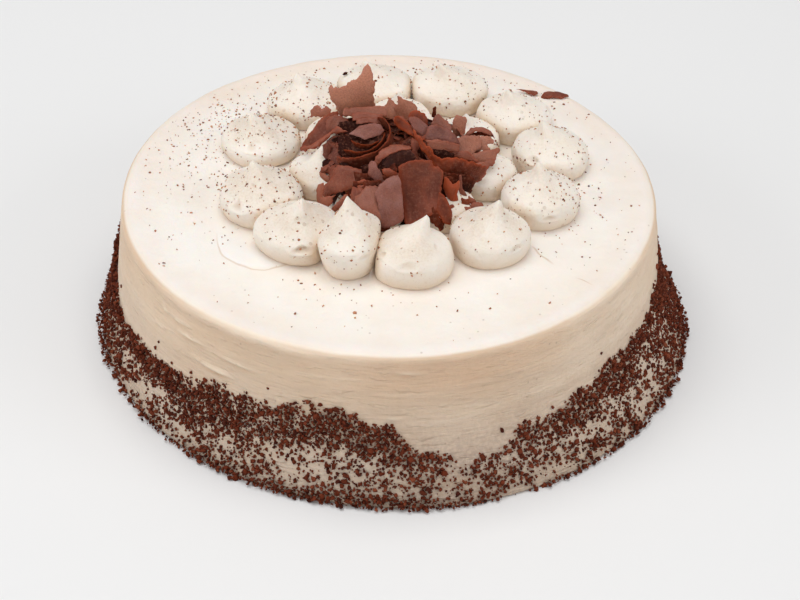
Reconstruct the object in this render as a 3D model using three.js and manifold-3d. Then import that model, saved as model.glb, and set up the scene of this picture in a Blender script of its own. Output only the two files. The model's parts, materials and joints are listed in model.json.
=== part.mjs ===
// A round tres leches cake dressed in whipped cream: a flat top with a crisp rounded edge, a
// smoothed wall that flares into a crumb-coated skirt, two rings of piped cream kisses, and a heap
// of chocolate shavings in the middle, with two stray shavings near the rim.
// Millimetres, +Z up. The cake stands on Z = 0, with the middle of its own box over the origin.
import * as THREE from "three";
import { mergeVertices } from "three/addons/utils/BufferGeometryUtils.js";
import Module from "manifold-3d";

const manifold = await Module();
manifold.setup();

// ---- Driving dimensions ----

// Cake
const cakeHeight = 62;
const topRadius = 104.3;
const edgeRound = 3.6;
const waistHeight = 31;
const waistRadius = 107.8;
const footRadius = 116.8;
const skirtCurve = 1.25;
const skirtShift = 4;
const footRound = 2;
const crumbCoat = 1.6;
const crumbStep = 2.4;
const footBank = { depth: 2.2, height: 6 };
const sideBank = { angle: -96, spread: 30, depth: 4 };
const cakeSegments = 72;
const skirtRows = 4;
const wallRows = 3;

// Height of the crumb coat's wavy upper line: degrees round from the front, millimetres up
const crumbLine = [
  [-180, 31],
  [-150, 36],
  [-122, 31],
  [-96, 42],
  [-82, 29],
  [-66, 25],
  [-48, 30],
  [-24, 35],
  [-9, 38],
  [0, 32],
  [7, 20],
  [14, 15],
  [24, 19],
  [36, 25],
  [49, 34],
  [68, 30],
  [92, 39],
  [120, 30],
  [150, 35],
];

// Piped cream kisses
const restGap = 0.3;
const pressGap = 0.3;
const outerSegments = 16;
const innerSegments = 12;
const outerRing = { x: 4, y: 9.5, radius: 59.5 };
const innerRing = { x: 5, y: 11, radius: 32.5, width: 27, height: 17 };
const innerAngles = [-11, 38, 92, 143, 194, 248, 299];

// Each outer kiss: degrees round its ring, how far it sits off the ring, its width across the
// ring, its length along the ring's radius, its height, and where its tip leans to
const outerKisses = [
  { angle: -106, off: 0.5, width: 25, length: 30, height: 28, lean: [-1.5, 3] },
  { angle: -83.5, off: 1.5, width: 32, length: 30.5, height: 23, lean: [5, 1.5] },
  { angle: -54, off: -1, width: 31.5, length: 31.5, height: 22, lean: [3, 0] },
  { angle: -22, off: -0.5, width: 31, length: 31, height: 22.5, lean: [-1.5, 0.5] },
  { angle: 10, off: 1, width: 31, length: 31, height: 20.5, lean: [-3.5, 0] },
  { angle: 39, off: 0, width: 32, length: 30, height: 18.5, lean: [-3, -1] },
  { angle: 71, off: 2, width: 32, length: 31, height: 18, lean: [-4, -1] },
  { angle: 101, off: 0.5, width: 31, length: 30, height: 18, lean: [-4, -1] },
  { angle: 130, off: 1.5, width: 32.5, length: 30, height: 17.5, lean: [-3, 1] },
  { angle: 161, off: -0.7, width: 32.5, length: 32, height: 16, lean: [-3.5, 0] },
  { angle: 203, off: -2, width: 35, length: 34, height: 20.5, lean: [-3, 1] },
  { angle: 231, off: 0.2, width: 34, length: 33, height: 21, lean: [1.5, -0.5] },
];

// Outline of a kiss from the rim of its base to its tip, as shares of its radius and height
const kissOutline = new THREE.SplineCurve([
  new THREE.Vector2(0.87, 0),
  new THREE.Vector2(1, 0.24),
  new THREE.Vector2(0.91, 0.5),
  new THREE.Vector2(0.6, 0.7),
  new THREE.Vector2(0.22, 0.83),
  new THREE.Vector2(0, 1),
]);
const outerKissRows = 8;
const innerKissRows = 6;
const leanStart = 0.3;

// Heap of shavings: a full rounded core that the plates below stand out of
const heapCore = { x: 3, y: 0, radiusX: 30, radiusY: 27, bottom: 3, height: 20 };
const coreFullness = 0.75;
const coreSegments = 22;
const coreRows = 4;
const coreUnevenness = 0.08;
const plateThickness = 1.6;

// Each large shaving: its middle over the cake's top, its size, the way it faces (degrees round
// from the front, and up), its turn in its own plane, the radius it is curled to, and how far it
// narrows towards its top and which way that top is swept
const heapPlates = [
  { at: [-13, 20, 27], size: [20, 34], faces: [-8, 8], turn: 0, curl: 40, narrow: 0.95, sweep: 0.32 },
  { at: [-27, 16, 16], size: [12, 24], faces: [-35, 50], turn: -55, curl: 30, narrow: 0.3, sweep: 0 },
  { at: [-25, 25, 17], size: [12, 12], faces: [-20, 35], turn: 10, curl: 20, narrow: 0.4, sweep: 0 },
  { at: [-10, -5, 21], size: [30, 11], faces: [0, -8], turn: 4, curl: 13, narrow: 0.1, sweep: 0 },
  { at: [-7, 6, 23], size: [22, 13], faces: [10, 60], turn: 6, curl: -22, narrow: 0.2, sweep: 0 },
  { at: [9, 8, 24], size: [25, 17], faces: [25, 50], turn: 32, curl: 30, narrow: 0.2, sweep: 0 },
  { at: [21, 3, 22], size: [19, 13], faces: [20, 48], turn: 14, curl: 26, narrow: 0.2, sweep: 0 },
  { at: [24, 15, 19], size: [10, 15], faces: [20, 10], turn: 12, curl: 24, narrow: 0.3, sweep: 0 },
  { at: [34, 4, 17], size: [20, 10], faces: [25, 40], turn: -4, curl: 24, narrow: 0.3, sweep: 0 },
  { at: [25, -13, 19], size: [37, 13], faces: [14, 18], turn: 20, curl: 30, narrow: 0.1, sweep: 0 },
  { at: [12, -26, 18], size: [15.5, 26], faces: [3, 22], turn: 3, curl: 22, narrow: 0.15, sweep: 0 },
  { at: [-3, -27, 14], size: [20, 18], faces: [-10, 30], turn: -12, curl: 24, narrow: 0.3, sweep: 0 },
  { at: [-17, -15, 16], size: [20, 13], faces: [-14, 45], turn: -12, curl: 30, narrow: 0.2, sweep: 0 },
  { at: [-22, -18, 12], size: [12, 14], faces: [-25, 25], turn: 24, curl: 14, narrow: 0.3, sweep: 0 },
  { at: [24, -27.5, 12], size: [12, 16], faces: [12, 32], turn: 8, curl: 14, narrow: 0.4, sweep: 0 },
];
const plateColumns = 5;
const plateLayers = 3;
const raggedShare = 0.16;
const narrowStart = 0.45;

// The plain swollen kisses that cut the heap's underside
const cutterSegments = 12;
const cutterRows = 5;
const cutterSwell = 1.2;

// Stray shavings lying flat near the rim: place, size and heading
const strayThickness = 1.2;
const strays = [
  { at: [56.5, 71.5], size: [10, 4], turn: -28, curl: 12 },
  { at: [67.5, 69.5], size: [11.5, 6.5], turn: -20, curl: 12 },
];

// ---- Materials ----

const cream = new THREE.MeshStandardMaterial({ color: 0xf4e9da, roughness: 0.55, metalness: 0 });
const pipedCream = new THREE.MeshStandardMaterial({ color: 0xf6ede0, roughness: 0.5, metalness: 0 });
const chocolate = new THREE.MeshStandardMaterial({ color: 0x6b3a28, roughness: 0.45, metalness: 0 });

// ---- Helpers ----

/** A repeatable value from -1 to 1 for a pair of numbers. */
function scatter(a, b) {
  const wave = Math.sin(a * 12.9898 + b * 78.233) * 43758.5453;
  return 2 * (wave - Math.floor(wave)) - 1;
}

/** The geometry with its shared corners joined, so that it is one closed skin. */
function closedSkin(geometry) {
  const skin = geometry.clone();
  skin.deleteAttribute("normal");
  skin.deleteAttribute("uv");
  return mergeVertices(skin, 1e-4);
}

/** Moves every vertex of a geometry to where move(vertex) leaves it. */
function moveVertices(geometry, move) {
  const position = geometry.attributes.position;
  const vertex = new THREE.Vector3();
  for (let i = 0; i < position.count; i += 1) {
    vertex.fromBufferAttribute(position, i);
    move(vertex, i);
    position.setXYZ(i, vertex.x, vertex.y, vertex.z);
  }
  return geometry;
}

/** A solid turned about Z from an outline of (radius, height) points that runs from the axis up. */
function turned(outline, segments) {
  return new THREE.LatheGeometry(outline, segments).rotateX(Math.PI / 2);
}

/** The solid that the cutting library needs for a joined geometry. */
function toSolid(geometry) {
  const skin = closedSkin(geometry);
  const mesh = new manifold.Mesh({
    numProp: 3,
    vertProperties: new Float32Array(skin.attributes.position.array),
    triVerts: new Uint32Array(skin.index.array),
  });
  return new manifold.Manifold(mesh);
}

/** The geometry of a cut or joined solid. */
function toGeometry(solid) {
  const mesh = solid.getMesh();
  const geometry = new THREE.BufferGeometry();
  geometry.setAttribute("position", new THREE.BufferAttribute(mesh.vertProperties, 3));
  geometry.setIndex(new THREE.BufferAttribute(mesh.triVerts, 1));
  return geometry;
}

// ---- Cake ----

/** Height of the crumb coat's upper line at an angle round from the front, in degrees. */
function crumbLineAt(degrees) {
  const last = crumbLine.length - 1;
  for (let i = 0; i <= last; i += 1) {
    const [start, startHeight] = crumbLine[i];
    const [end, endHeight] = i < last ? crumbLine[i + 1] : [180, crumbLine[0][1]];
    if (degrees >= start && degrees <= end) {
      const share = THREE.MathUtils.smoothstep(degrees, start, end);
      return THREE.MathUtils.lerp(startHeight, endHeight, share);
    }
  }
  return crumbLine[0][1];
}

/** Radius of the smoothed cream at a height: a slightly leaning wall, then a flaring skirt. */
function creamRadius(height) {
  if (height >= waistHeight) {
    const share = (cakeHeight - height) / (cakeHeight - waistHeight);
    return THREE.MathUtils.lerp(topRadius, waistRadius, share);
  }
  const share = Math.pow((waistHeight - height) / waistHeight, skirtCurve);
  return THREE.MathUtils.lerp(waistRadius, footRadius, share);
}

/** How far the crumbs stand proud of the cream at an angle and a height below the crumb line. */
function crumbDepth(degrees, height, line) {
  const away = (degrees - sideBank.angle) / sideBank.spread;
  const side = sideBank.depth * Math.exp(-away * away) * (1 - height / line);
  const foot = footBank.depth * Math.exp(-height / footBank.height);
  return crumbCoat + side + foot;
}

/** The column of (radius, height) points from the middle of the foot to the middle of the top. */
function cakeColumn(degrees) {
  const line = crumbLineAt(degrees);
  const radians = THREE.MathUtils.degToRad(degrees);
  const uneven = 0.35 * Math.sin(2 * radians + 1) + 0.25 * Math.sin(5 * radians);
  const column = [new THREE.Vector2(0, 0)];
  column.push(new THREE.Vector2(creamRadius(0) + crumbDepth(degrees, 0, line) - footRound, 0));
  const skirtTop = line - crumbStep;
  for (let row = 0; row <= skirtRows; row += 1) {
    const height = THREE.MathUtils.lerp(footRound, skirtTop, Math.pow(row / skirtRows, 1.5));
    const radius = creamRadius(height) + crumbDepth(degrees, height, line) + uneven;
    column.push(new THREE.Vector2(radius, height));
  }
  const wallTop = cakeHeight - edgeRound;
  for (let row = 0; row <= wallRows; row += 1) {
    const height = THREE.MathUtils.lerp(line, wallTop, row / wallRows);
    column.push(new THREE.Vector2(creamRadius(height) + uneven, height));
  }
  const bevel = edgeRound * Math.SQRT1_2;
  const edgeMiddle = topRadius - edgeRound + uneven;
  column.push(new THREE.Vector2(edgeMiddle + bevel, wallTop + bevel));
  column.push(new THREE.Vector2(edgeMiddle, cakeHeight));
  column.push(new THREE.Vector2(0, cakeHeight));
  return column;
}

/** The whole uncut cake: every column of the turned solid follows the crumb line at its angle. */
function cakeGeometry() {
  const plainColumn = cakeColumn(0);
  const rows = plainColumn.length;
  return moveVertices(turned(plainColumn, cakeSegments), (vertex, i) => {
    const turn = Math.floor(i / rows) % cakeSegments;
    const degrees = THREE.MathUtils.euclideanModulo((360 * turn) / cakeSegments + 180, 360) - 180;
    const point = cakeColumn(degrees)[i % rows];
    const radians = THREE.MathUtils.degToRad(degrees);
    const drop = THREE.MathUtils.clamp((waistHeight - point.y) / waistHeight, 0, 1);
    const outward = point.x / footRadius;
    vertex.set(
      point.x * Math.sin(radians) + skirtShift * drop * outward,
      -point.x * Math.cos(radians),
      point.y,
    );
  });
}

// ---- Piped kisses ----

/** Every kiss as its middle on the cake's top, its half sizes along its own axes, and its tip. */
function listKisses() {
  const kisses = outerKisses.map((kiss, i) => {
    const radians = THREE.MathUtils.degToRad(kiss.angle);
    const reach = outerRing.radius + kiss.off;
    return {
      name: `dollop_outer_${String(i + 1).padStart(2, "0")}`,
      x: outerRing.x + reach * Math.cos(radians),
      y: outerRing.y + reach * Math.sin(radians),
      radians,
      along: kiss.length / 2,
      across: kiss.width / 2,
      height: kiss.height,
      lean: kiss.lean,
      segments: outerSegments,
      rows: outerKissRows,
    };
  });
  innerAngles.forEach((angle, i) => {
    const radians = THREE.MathUtils.degToRad(angle);
    kisses.push({
      name: `dollop_inner_${i + 1}`,
      x: innerRing.x + innerRing.radius * Math.cos(radians),
      y: innerRing.y + innerRing.radius * Math.sin(radians),
      radians,
      along: innerRing.width / 2,
      across: innerRing.width / 2,
      height: innerRing.height,
      lean: [2 * scatter(i, 3), 2 * scatter(i, 7)],
      segments: innerSegments,
      rows: innerKissRows,
    });
  });
  return kisses;
}

/** The upright planes against which a kiss is pressed flat by the kisses beside it. */
function pressPlanes(kiss, kisses, gap) {
  const planes = [];
  for (const other of kisses) {
    const apart = Math.hypot(other.x - kiss.x, other.y - kiss.y);
    const own = (kiss.along + kiss.across) / 2;
    const theirs = (other.along + other.across) / 2;
    if (other !== kiss && apart < own + theirs + 2) {
      planes.push({
        x: (other.x - kiss.x) / apart,
        y: (other.y - kiss.y) / apart,
        distance: (apart + (own * own - theirs * theirs) / apart) / 2 - gap / 2,
      });
    }
  }
  return planes;
}

/** One kiss: a fat round base drawn up to a leaning tip, swollen by an even skin if asked. */
function kissGeometry(kiss, kisses, segments, rows, swell) {
  const outline = [new THREE.Vector2(0, 0)];
  outline.push(...kissOutline.getPoints(rows));
  outline[outline.length - 1].set(0, 1);
  const planes = pressPlanes(kiss, kisses, pressGap - 2 * swell);
  return moveVertices(turned(outline, segments), (vertex) => {
    const tipShare = THREE.MathUtils.smoothstep(vertex.z, leanStart, 1);
    const radial = vertex.x * (kiss.along + swell);
    const side = vertex.y * (kiss.across + swell);
    let x = radial * Math.cos(kiss.radians) - side * Math.sin(kiss.radians);
    let y = radial * Math.sin(kiss.radians) + side * Math.cos(kiss.radians);
    x += kiss.lean[0] * tipShare;
    y += kiss.lean[1] * tipShare;
    for (const plane of planes) {
      const out = x * plane.x + y * plane.y;
      if (out > plane.distance) {
        x *= plane.distance / out;
        y *= plane.distance / out;
      }
    }
    const base = cakeHeight + restGap - swell;
    vertex.set(kiss.x + x, kiss.y + y, base + vertex.z * (kiss.height + 2 * swell));
  });
}

// ---- Shavings ----

/** A curled, ragged plate standing in the XZ plane, its outside towards -Y. */
function plateGeometry(size, thickness, curl, narrow, sweep, seed) {
  const [width, height] = size;
  const plate = new THREE.BoxGeometry(width, thickness, height, plateColumns, 1, plateLayers);
  return moveVertices(plate, (vertex) => {
    const column = Math.round((vertex.x / width + 0.5) * plateColumns);
    const layer = Math.round((vertex.z / height + 0.5) * plateLayers);
    const up = layer / plateLayers;
    const atSide = column === 0 || column === plateColumns;
    const atEnd = layer === 0 || layer === plateLayers;
    const narrowing = THREE.MathUtils.smoothstep(up, narrowStart, 1);
    let x = vertex.x * (1 - narrow * narrowing) + sweep * width * narrowing;
    let z = vertex.z;
    if (atSide) x *= 1 - raggedShare * (0.5 + 0.5 * scatter(layer + seed, column));
    if (atEnd) z *= 1 - raggedShare * (0.5 + 0.5 * scatter(column + seed, layer));
    const bend = x / curl;
    const reach = curl - vertex.y;
    vertex.set(reach * Math.sin(bend), curl - reach * Math.cos(bend), z);
  });
}

/** The uneven mound that fills the heap between its larger shavings. */
function heapCoreGeometry() {
  const outline = [new THREE.Vector2(0, 0)];
  for (let row = 0; row <= coreRows; row += 1) {
    const rise = (row / coreRows) * (Math.PI / 2);
    const out = Math.pow(Math.cos(rise), coreFullness);
    outline.push(new THREE.Vector2(out, Math.pow(Math.sin(rise), coreFullness)));
  }
  outline[outline.length - 1].set(0, 1);
  return moveVertices(turned(outline, coreSegments), (vertex) => {
    const angle = Math.atan2(vertex.y, vertex.x);
    const swing = Math.sin(3 * angle + 0.6) + 0.7 * Math.sin(7 * angle);
    const uneven = 1 + coreUnevenness * swing * Math.hypot(vertex.x, vertex.y);
    vertex.set(
      heapCore.x + vertex.x * heapCore.radiusX * uneven,
      heapCore.y + vertex.y * heapCore.radiusY * uneven,
      cakeHeight + heapCore.bottom + vertex.z * heapCore.height,
    );
  });
}

/** The heap as one solid: its core and large shavings, cut clear of the kisses that it lies on. */
function heapGeometry(kisses) {
  let heap = toSolid(heapCoreGeometry());
  heapPlates.forEach((plate, i) => {
    const { size, curl, narrow, sweep, faces, turn, at } = plate;
    const geometry = plateGeometry(size, plateThickness, curl, narrow, sweep, i);
    geometry.rotateY(THREE.MathUtils.degToRad(turn));
    geometry.rotateX(-THREE.MathUtils.degToRad(faces[1]));
    geometry.rotateZ(THREE.MathUtils.degToRad(faces[0]));
    geometry.translate(at[0], at[1], at[2] + cakeHeight);
    heap = heap.add(toSolid(geometry));
  });
  for (const kiss of kisses) {
    heap = heap.subtract(toSolid(kissGeometry(kiss, kisses, cutterSegments, cutterRows, cutterSwell)));
  }
  return toGeometry(heap);
}

/** A stray shaving lying on the cake's top, its curled edges up. */
function strayGeometry(stray, i) {
  const geometry = plateGeometry(stray.size, strayThickness, stray.curl, 0.4, 0, i + 40);
  geometry.rotateX(Math.PI / 2);
  geometry.rotateZ(THREE.MathUtils.degToRad(stray.turn));
  geometry.computeBoundingBox();
  const lift = cakeHeight + restGap - geometry.boundingBox.min.z;
  return geometry.translate(stray.at[0], stray.at[1], lift);
}

// ---- The finished cake ----

const cake = new THREE.Group();

/** Adds one named piece to the cake. */
function addPiece(name, geometry, material) {
  const mesh = new THREE.Mesh(closedSkin(geometry), material.clone());
  mesh.name = name;
  cake.add(mesh);
}

const kisses = listKisses();
addPiece("cake", cakeGeometry(), cream);
for (const kiss of kisses) {
  addPiece(kiss.name, kissGeometry(kiss, kisses, kiss.segments, kiss.rows, 0), pipedCream);
}
addPiece("shavings_heap", heapGeometry(kisses), chocolate);
strays.forEach((stray, i) => addPiece(`shaving_stray_${i + 1}`, strayGeometry(stray, i), chocolate));

// The skirt runs a little further out on one side, so the box's middle is off the top's middle
const box = new THREE.Box3().setFromObject(cake);
cake.position.set(-(box.min.x + box.max.x) / 2, -(box.min.y + box.max.y) / 2, 0);

export default cake;
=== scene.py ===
# A round tres leches cake dressed in whipped cream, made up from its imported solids: smoothed
# cream, a coat of cake crumbs round the skirt, piped kisses, a heap of chocolate shavings, and a
# dusting of grated chocolate. Working sizes are millimetres; meshes are made in metres.
import json
import math

import bmesh
import bpy
import numpy as np
from mathutils import Matrix, Vector
from mathutils.geometry import delaunay_2d_cdt

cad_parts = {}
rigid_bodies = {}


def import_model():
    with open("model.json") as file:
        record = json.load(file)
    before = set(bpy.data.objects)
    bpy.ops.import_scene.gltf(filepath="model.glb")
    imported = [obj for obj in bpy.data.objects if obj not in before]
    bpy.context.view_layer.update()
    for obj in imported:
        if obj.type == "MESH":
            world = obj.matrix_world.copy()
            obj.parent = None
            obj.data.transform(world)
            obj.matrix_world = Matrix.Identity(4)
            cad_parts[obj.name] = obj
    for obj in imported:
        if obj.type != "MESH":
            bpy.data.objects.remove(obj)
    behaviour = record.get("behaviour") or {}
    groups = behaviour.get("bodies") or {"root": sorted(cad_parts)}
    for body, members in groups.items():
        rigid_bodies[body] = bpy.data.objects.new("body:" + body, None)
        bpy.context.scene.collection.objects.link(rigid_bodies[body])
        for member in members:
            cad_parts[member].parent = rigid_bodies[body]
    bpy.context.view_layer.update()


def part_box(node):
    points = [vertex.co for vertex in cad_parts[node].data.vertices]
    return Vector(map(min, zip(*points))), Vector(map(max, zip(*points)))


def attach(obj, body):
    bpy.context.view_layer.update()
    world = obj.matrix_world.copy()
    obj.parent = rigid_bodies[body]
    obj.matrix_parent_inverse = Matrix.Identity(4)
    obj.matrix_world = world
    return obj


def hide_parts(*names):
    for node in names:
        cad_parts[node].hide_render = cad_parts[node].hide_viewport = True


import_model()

# ---- Smoothed cream ----
# The whole cake: a soaked sponge under whipped cream that a spatula has smoothed on a turntable.
# Its wall leans out a little and flares into a skirt. It is turned as a fine stack of rings, and
# every ring is moved by the low relief that the spatula left.
MM = 0.001
# The flared skirt reaches further on the right, so the axis lies left of the middle of the box
skirt_lean = 2.3
cake_low, cake_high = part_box("cake")
axis_x = (cake_low.x + cake_high.x) / 2 / MM - skirt_lean
axis_y = (cake_low.y + cake_high.y) / 2 / MM
cake_height = cake_high.z / MM

top_radius = 104.3
edge_round = 2.4
edge_reach = 4.4
waist_height = 31.0
waist_radius = 107.8
foot_radius = 116.8
skirt_curve = 1.25
skirt_shift = 4.0
foot_round = 1.5
wall_top = cake_height - edge_round
# How far the spatula left the flat top under the full height, and how far under it still counts as
# the flat top
top_dip = 0.35
flat_margin = 0.6
# The rings that the cake is turned from: how many points go round, the flat foot's rings as shares
# of its radius, the wall's by height and number, and the top's by share and number, all the way in
steps_round = 720
foot_rings = (0.3, 0.6, 0.85)
wall_rings = [(foot_round, 35, 27), (35.5, 55, 37), (56, wall_top, 4)]
top_rings = [(1, 0.49, 46), (0.43, 0.03, 7)]
# The bank of crumbs piled on the left: degrees round, spread, depth, and the cream's share in it
side_bank = {"angle": -96.0, "spread": 30.0, "depth": 4.0, "cream": 0.8}
# The crumb coat round the cake: degrees from the front, height of its upper line, depth of the
# dense belt under that line, and how thickly the lacework lies below the belt
crumb_zones = [
    (-180, 31, 14, 0.6), (-150, 36, 16, 0.6), (-122, 31, 14, 0.6), (-96, 38, 20, 0.65), (-82, 28, 13, 0.58),
    (-72, 25.2, 6, 0.52), (-62, 26.3, 9, 0.48), (-54, 29.5, 13, 0.52), (-44, 30.5, 16, 0.6),
    (-37, 33.8, 20, 0.6), (-30, 34.3, 20, 0.58), (-22, 34.5, 17, 0.5), (-16, 37.5, 17, 0.48),
    (-10, 38.5, 17, 0.5), (-5, 35.5, 17, 0.5), (1, 32.1, 18, 0.53), (5.5, 24.5, 13, 0.56), (9, 21, 5, 0.52),
    (13, 17.8, 1, 0.46), (18, 17, 3, 0.52), (24, 19.5, 3, 0.5), (29, 26.5, 10, 0.54), (36, 26, 10, 0.5),
    (43, 28.5, 16, 0.64), (49, 34, 17, 0.58), (57, 32.5, 17, 0.58), (61, 33, 9, 0.53),
    (66, 32, 9, 0.53), (73, 37, 13, 0.55), (82, 40, 22, 0.7), (96, 37, 14, 0.6), (120, 30, 13, 0.6),
    (150, 35, 15, 0.6), (180, 31, 14, 0.6),
]
# Smears in the crumb coat where cream shows: degrees, height, half arc, half height, tilt, share
bare_smears = [
    (-58, 9, 17, 2.4, 24, 0.93), (-47, 3, 8, 1.8, 0, 0.6), (-72, 11, 6, 2.5, 0, 0.5),
    (62, 20, 5, 2, 10, 0.5), (-44, 8, 5, 2.6, 0, 0.7), (-20, 11, 11, 4.5, -25, 0.6),
    (-12, 6, 8, 3, -30, 0.45), (46, 13, 9, 4, 5, 0.45), (24, 1.8, 19, 1.4, 1, 0.97),
    (40, 2.2, 13, 1.2, 2, 0.6), (-60, 2.6, 14, 1.5, 2, 0.8), (59, 7, 8, 4, 4, 0.7),
    (63, 15, 8, 4, 0, 0.35), (13, 14, 5, 4, 0, 0.35), (110, 14, 12, 4, 5, 0.6),
    (145, 12, 12, 4, -6, 0.6), (175, 16, 14, 4, 4, 0.6), (-155, 12, 12, 5, -5, 0.6),
    (-128, 10, 9, 4, 6, 0.5),
]
# How high crumbs heap along the foot: the least all round, and what is added near an angle
foot_heap = {"angle": -7, "spread": 17, "low": 1, "added": 4}
# Spatula lips on the wall: degrees round, height, half length, half width, tilt, relief
wall_lips = [
    (-50.5, 51.8, 1.6, 0.9, -14, 0.7), (-45.9, 51.6, 5.0, 0.8, 2, 0.7), (-42.3, 47.6, 6.0, 0.8, 3, 0.7),
    (-30.4, 46.3, 6.5, 0.8, -4, 0.6), (-35.3, 40.0, 7.5, 1.0, 0, 0.85), (-52, 43.0, 7, 0.9, 10, 0.3),
    (4.3, 54.2, 4.5, 0.8, -4, 0.45), (2.0, 35.0, 3.0, 0.7, 0, 0.5),
    (-10, 50.0, 14, 1.2, 1, 0.16), (4, 44.5, 16, 1.3, -2, 0.16), (22, 47.0, 15, 1.2, 3, 0.15),
    (38, 42.0, 12, 1.1, -3, 0.18), (58, 47.5, 14, 1.3, 2, 0.16), (-70, 43.0, 14, 1.2, 3, 0.2),
    (12, 33.0, 12, 1.0, 5, 0.2), (30, 36.0, 10, 0.9, -4, 0.18), (84, 50.0, 15, 1.2, 0, 0.2),
    (118, 46.0, 15, 1.3, 4, 0.22), (150, 50.0, 14, 1.1, -3, 0.2), (178, 45.0, 15, 1.2, 2, 0.22),
    (-150, 48.0, 13, 1.2, 4, 0.2), (-118, 46.0, 14, 1.2, -3, 0.22),
]
lip_relief = 2.6
# Painted highlights on the wall, paler where it is lit brighter at the right and along the rim: degrees
# round, spread, share, and the two heights between which it comes in
painted_highlights = [(54, 15, 0.4, 30, 44), (-27, 20, 0.8, 57, 60), (54, 15, 0.35, 57, 60)]
# Radii at which patterns run round the wall, the skirt and the rim
wall_ring = 106
skirt_ring = 110
rim_ring = 104
# The round end of a spatula stroke on the top, and two thin lines drawn in it: their starts,
# lengths and headings
stroke_end = {"x": -45.5, "y": -32.5, "radius": 20.0, "rise": 0.6, "heading": -118.0, "spread": 62}
top_lines = [((54.0, -35.5), 15.0, -56.0), ((69.9, -55.4), 8.0, -30.0)]

# The piped kisses stand in two rings, and the cream they press into shows round their feet
outer_ring = {"x": 4, "y": 9.5, "radius": 59.5}
inner_ring = {"x": 5, "y": 11, "radius": 32.5}
inner_angles = [-11, 38, 92, 143, 194, 248, 299]
inner_kiss = {"width": 27, "height": 17, "lean": 2, "drawn": 0.2}
# Each outer kiss: degrees round its ring, off the ring, width, length, height, its tip's lean, and
# how far it is drawn up into a cone
outer_kisses = [
    (-106.6, 1.2, 25, 30.5, 28, (-1.5, 3), 1.0), (-85.4, 1.5, 32, 30.5, 23, (5.5, 1.5), 0.0),
    (-54, -1, 31.5, 31.5, 22, (3, 0), 0.15), (-22, -0.5, 31, 31, 22.5, (-1.5, 0.5), 0.2),
    (10, 1, 31, 31, 20.5, (-3.5, 0), 0.2), (39, 0, 32, 30, 18.5, (-3, -1), 0.2),
    (71, 2, 33, 31, 18, (-4, -1), 0.2), (100.4, 0.5, 32.5, 30, 18, (-4, -1), 0.2),
    (130, 1.5, 32.5, 30, 17.5, (-3, 1), 0.2), (161, -0.7, 32.5, 32, 16, (-3.5, 0), 0.1),
    (203, -2, 35, 34, 20.5, (-3, 1), 0.2), (231, 0.2, 34, 33, 21, (1.5, -0.5), 0.35),
]
# The cream round a kiss's foot: how far its shade reaches, its small fillet, and the web that
# rises between two kisses that touch
foot_shade_width = 1.1
foot_fillet = 0.7
foot_web = 4


def smooth_step(value, start, end):
    """0 below start, 1 above end, and a smooth rise between."""
    share = np.clip((value - start) / (end - start), 0, 1)
    return share * share * (3 - 2 * share)


def bell(value, middle, spread):
    """1 at the middle, falling smoothly to nothing a few spreads away."""
    return np.exp(-(((value - middle) / spread) ** 2))


def lattice_noise(points, cell, seed, octaves=1):
    """Smooth noise from about -1 to 1 over points, with lumps as large as a cell."""
    points = np.asarray(points, float) / cell
    primes = np.array([73856093, 19349663, 83492791], np.int64)
    total = np.zeros(points.shape[:-1])
    reach = 0.0
    for octave in range(octaves):
        scaled = points * 2**octave
        base = np.floor(scaled).astype(np.int64)
        part = scaled - base
        part = part**3 * (part * (part * 6 - 15) + 10)
        for corner in np.ndindex(2, 2, 2):
            mixed = np.bitwise_xor.reduce((base + corner) * primes, axis=-1)
            mixed = mixed ^ ((seed + octave) * 40503)
            mixed = ((mixed ^ (mixed >> 15)) * 1274126177) & 0xFFFFFFFF
            mixed = ((mixed ^ (mixed >> 13)) * 1103515245) & 0xFFFFFFFF
            value = ((mixed >> 12) & 0xFFFF) / 32767.5 - 1
            weight = np.where(np.array(corner, bool), part, 1 - part).prod(-1)
            total += value * weight / 2**octave
        reach += 1 / 2**octave
    return total / reach


def crumb_zone_at(degrees):
    """The crumb coat's upper line, belt depth and lacework at degrees round from the front."""
    angles, *values = np.array(crumb_zones, float).T
    index = np.clip(np.searchsorted(angles, degrees, "right") - 1, 0, len(angles) - 2)
    share = smooth_step((degrees - angles[index]) / (angles[index + 1] - angles[index]), 0, 1)
    return [value[index] + share * (value[index + 1] - value[index]) for value in values]


def skirt_drop(height):
    """How far down the flared skirt a height is: 0 at the waist and above it, 1 at the foot."""
    return np.clip((waist_height - height) / waist_height, 0, 1)


def cream_radius(height):
    """Radius of the smoothed cream at a height: a slightly leaning wall, then a flared skirt."""
    up = (cake_height - height) / (cake_height - waist_height)
    wall = top_radius + up * (waist_radius - top_radius)
    down = skirt_drop(height) ** skirt_curve
    return np.where(height > waist_height, wall, waist_radius + down * (foot_radius - waist_radius))


def bank_share(degrees):
    """How much of the piled bank of crumbs on the cake's left there is at an angle, 0 to 1."""
    return bell(degrees, side_bank["angle"], side_bank["spread"])


def around_cake(degrees, radius, height):
    """Points at degrees round from the front, a radius from the axis and a height, in mm."""
    radians = np.radians(degrees)
    shift = skirt_shift * skirt_drop(height) * radius / foot_radius
    x = axis_x + radius * np.sin(radians) + shift
    y = axis_y - radius * np.cos(radians)
    return np.stack(np.broadcast_arrays(x, y, height), -1)


def on_ring(degrees, radius, height):
    """Places round an upright ring, by which the patterns on the wall are worked out."""
    radians = np.radians(degrees)
    return np.stack([radius * np.sin(radians), radius * np.cos(radians), height], -1)


def off_middle(degrees, height, angle, middle, tilt, radius):
    """How far a place on the wall is along a tilted line from its middle, and above the line."""
    along = np.radians(degrees - angle) * radius
    return along, height - middle - along * math.tan(math.radians(tilt))


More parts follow.
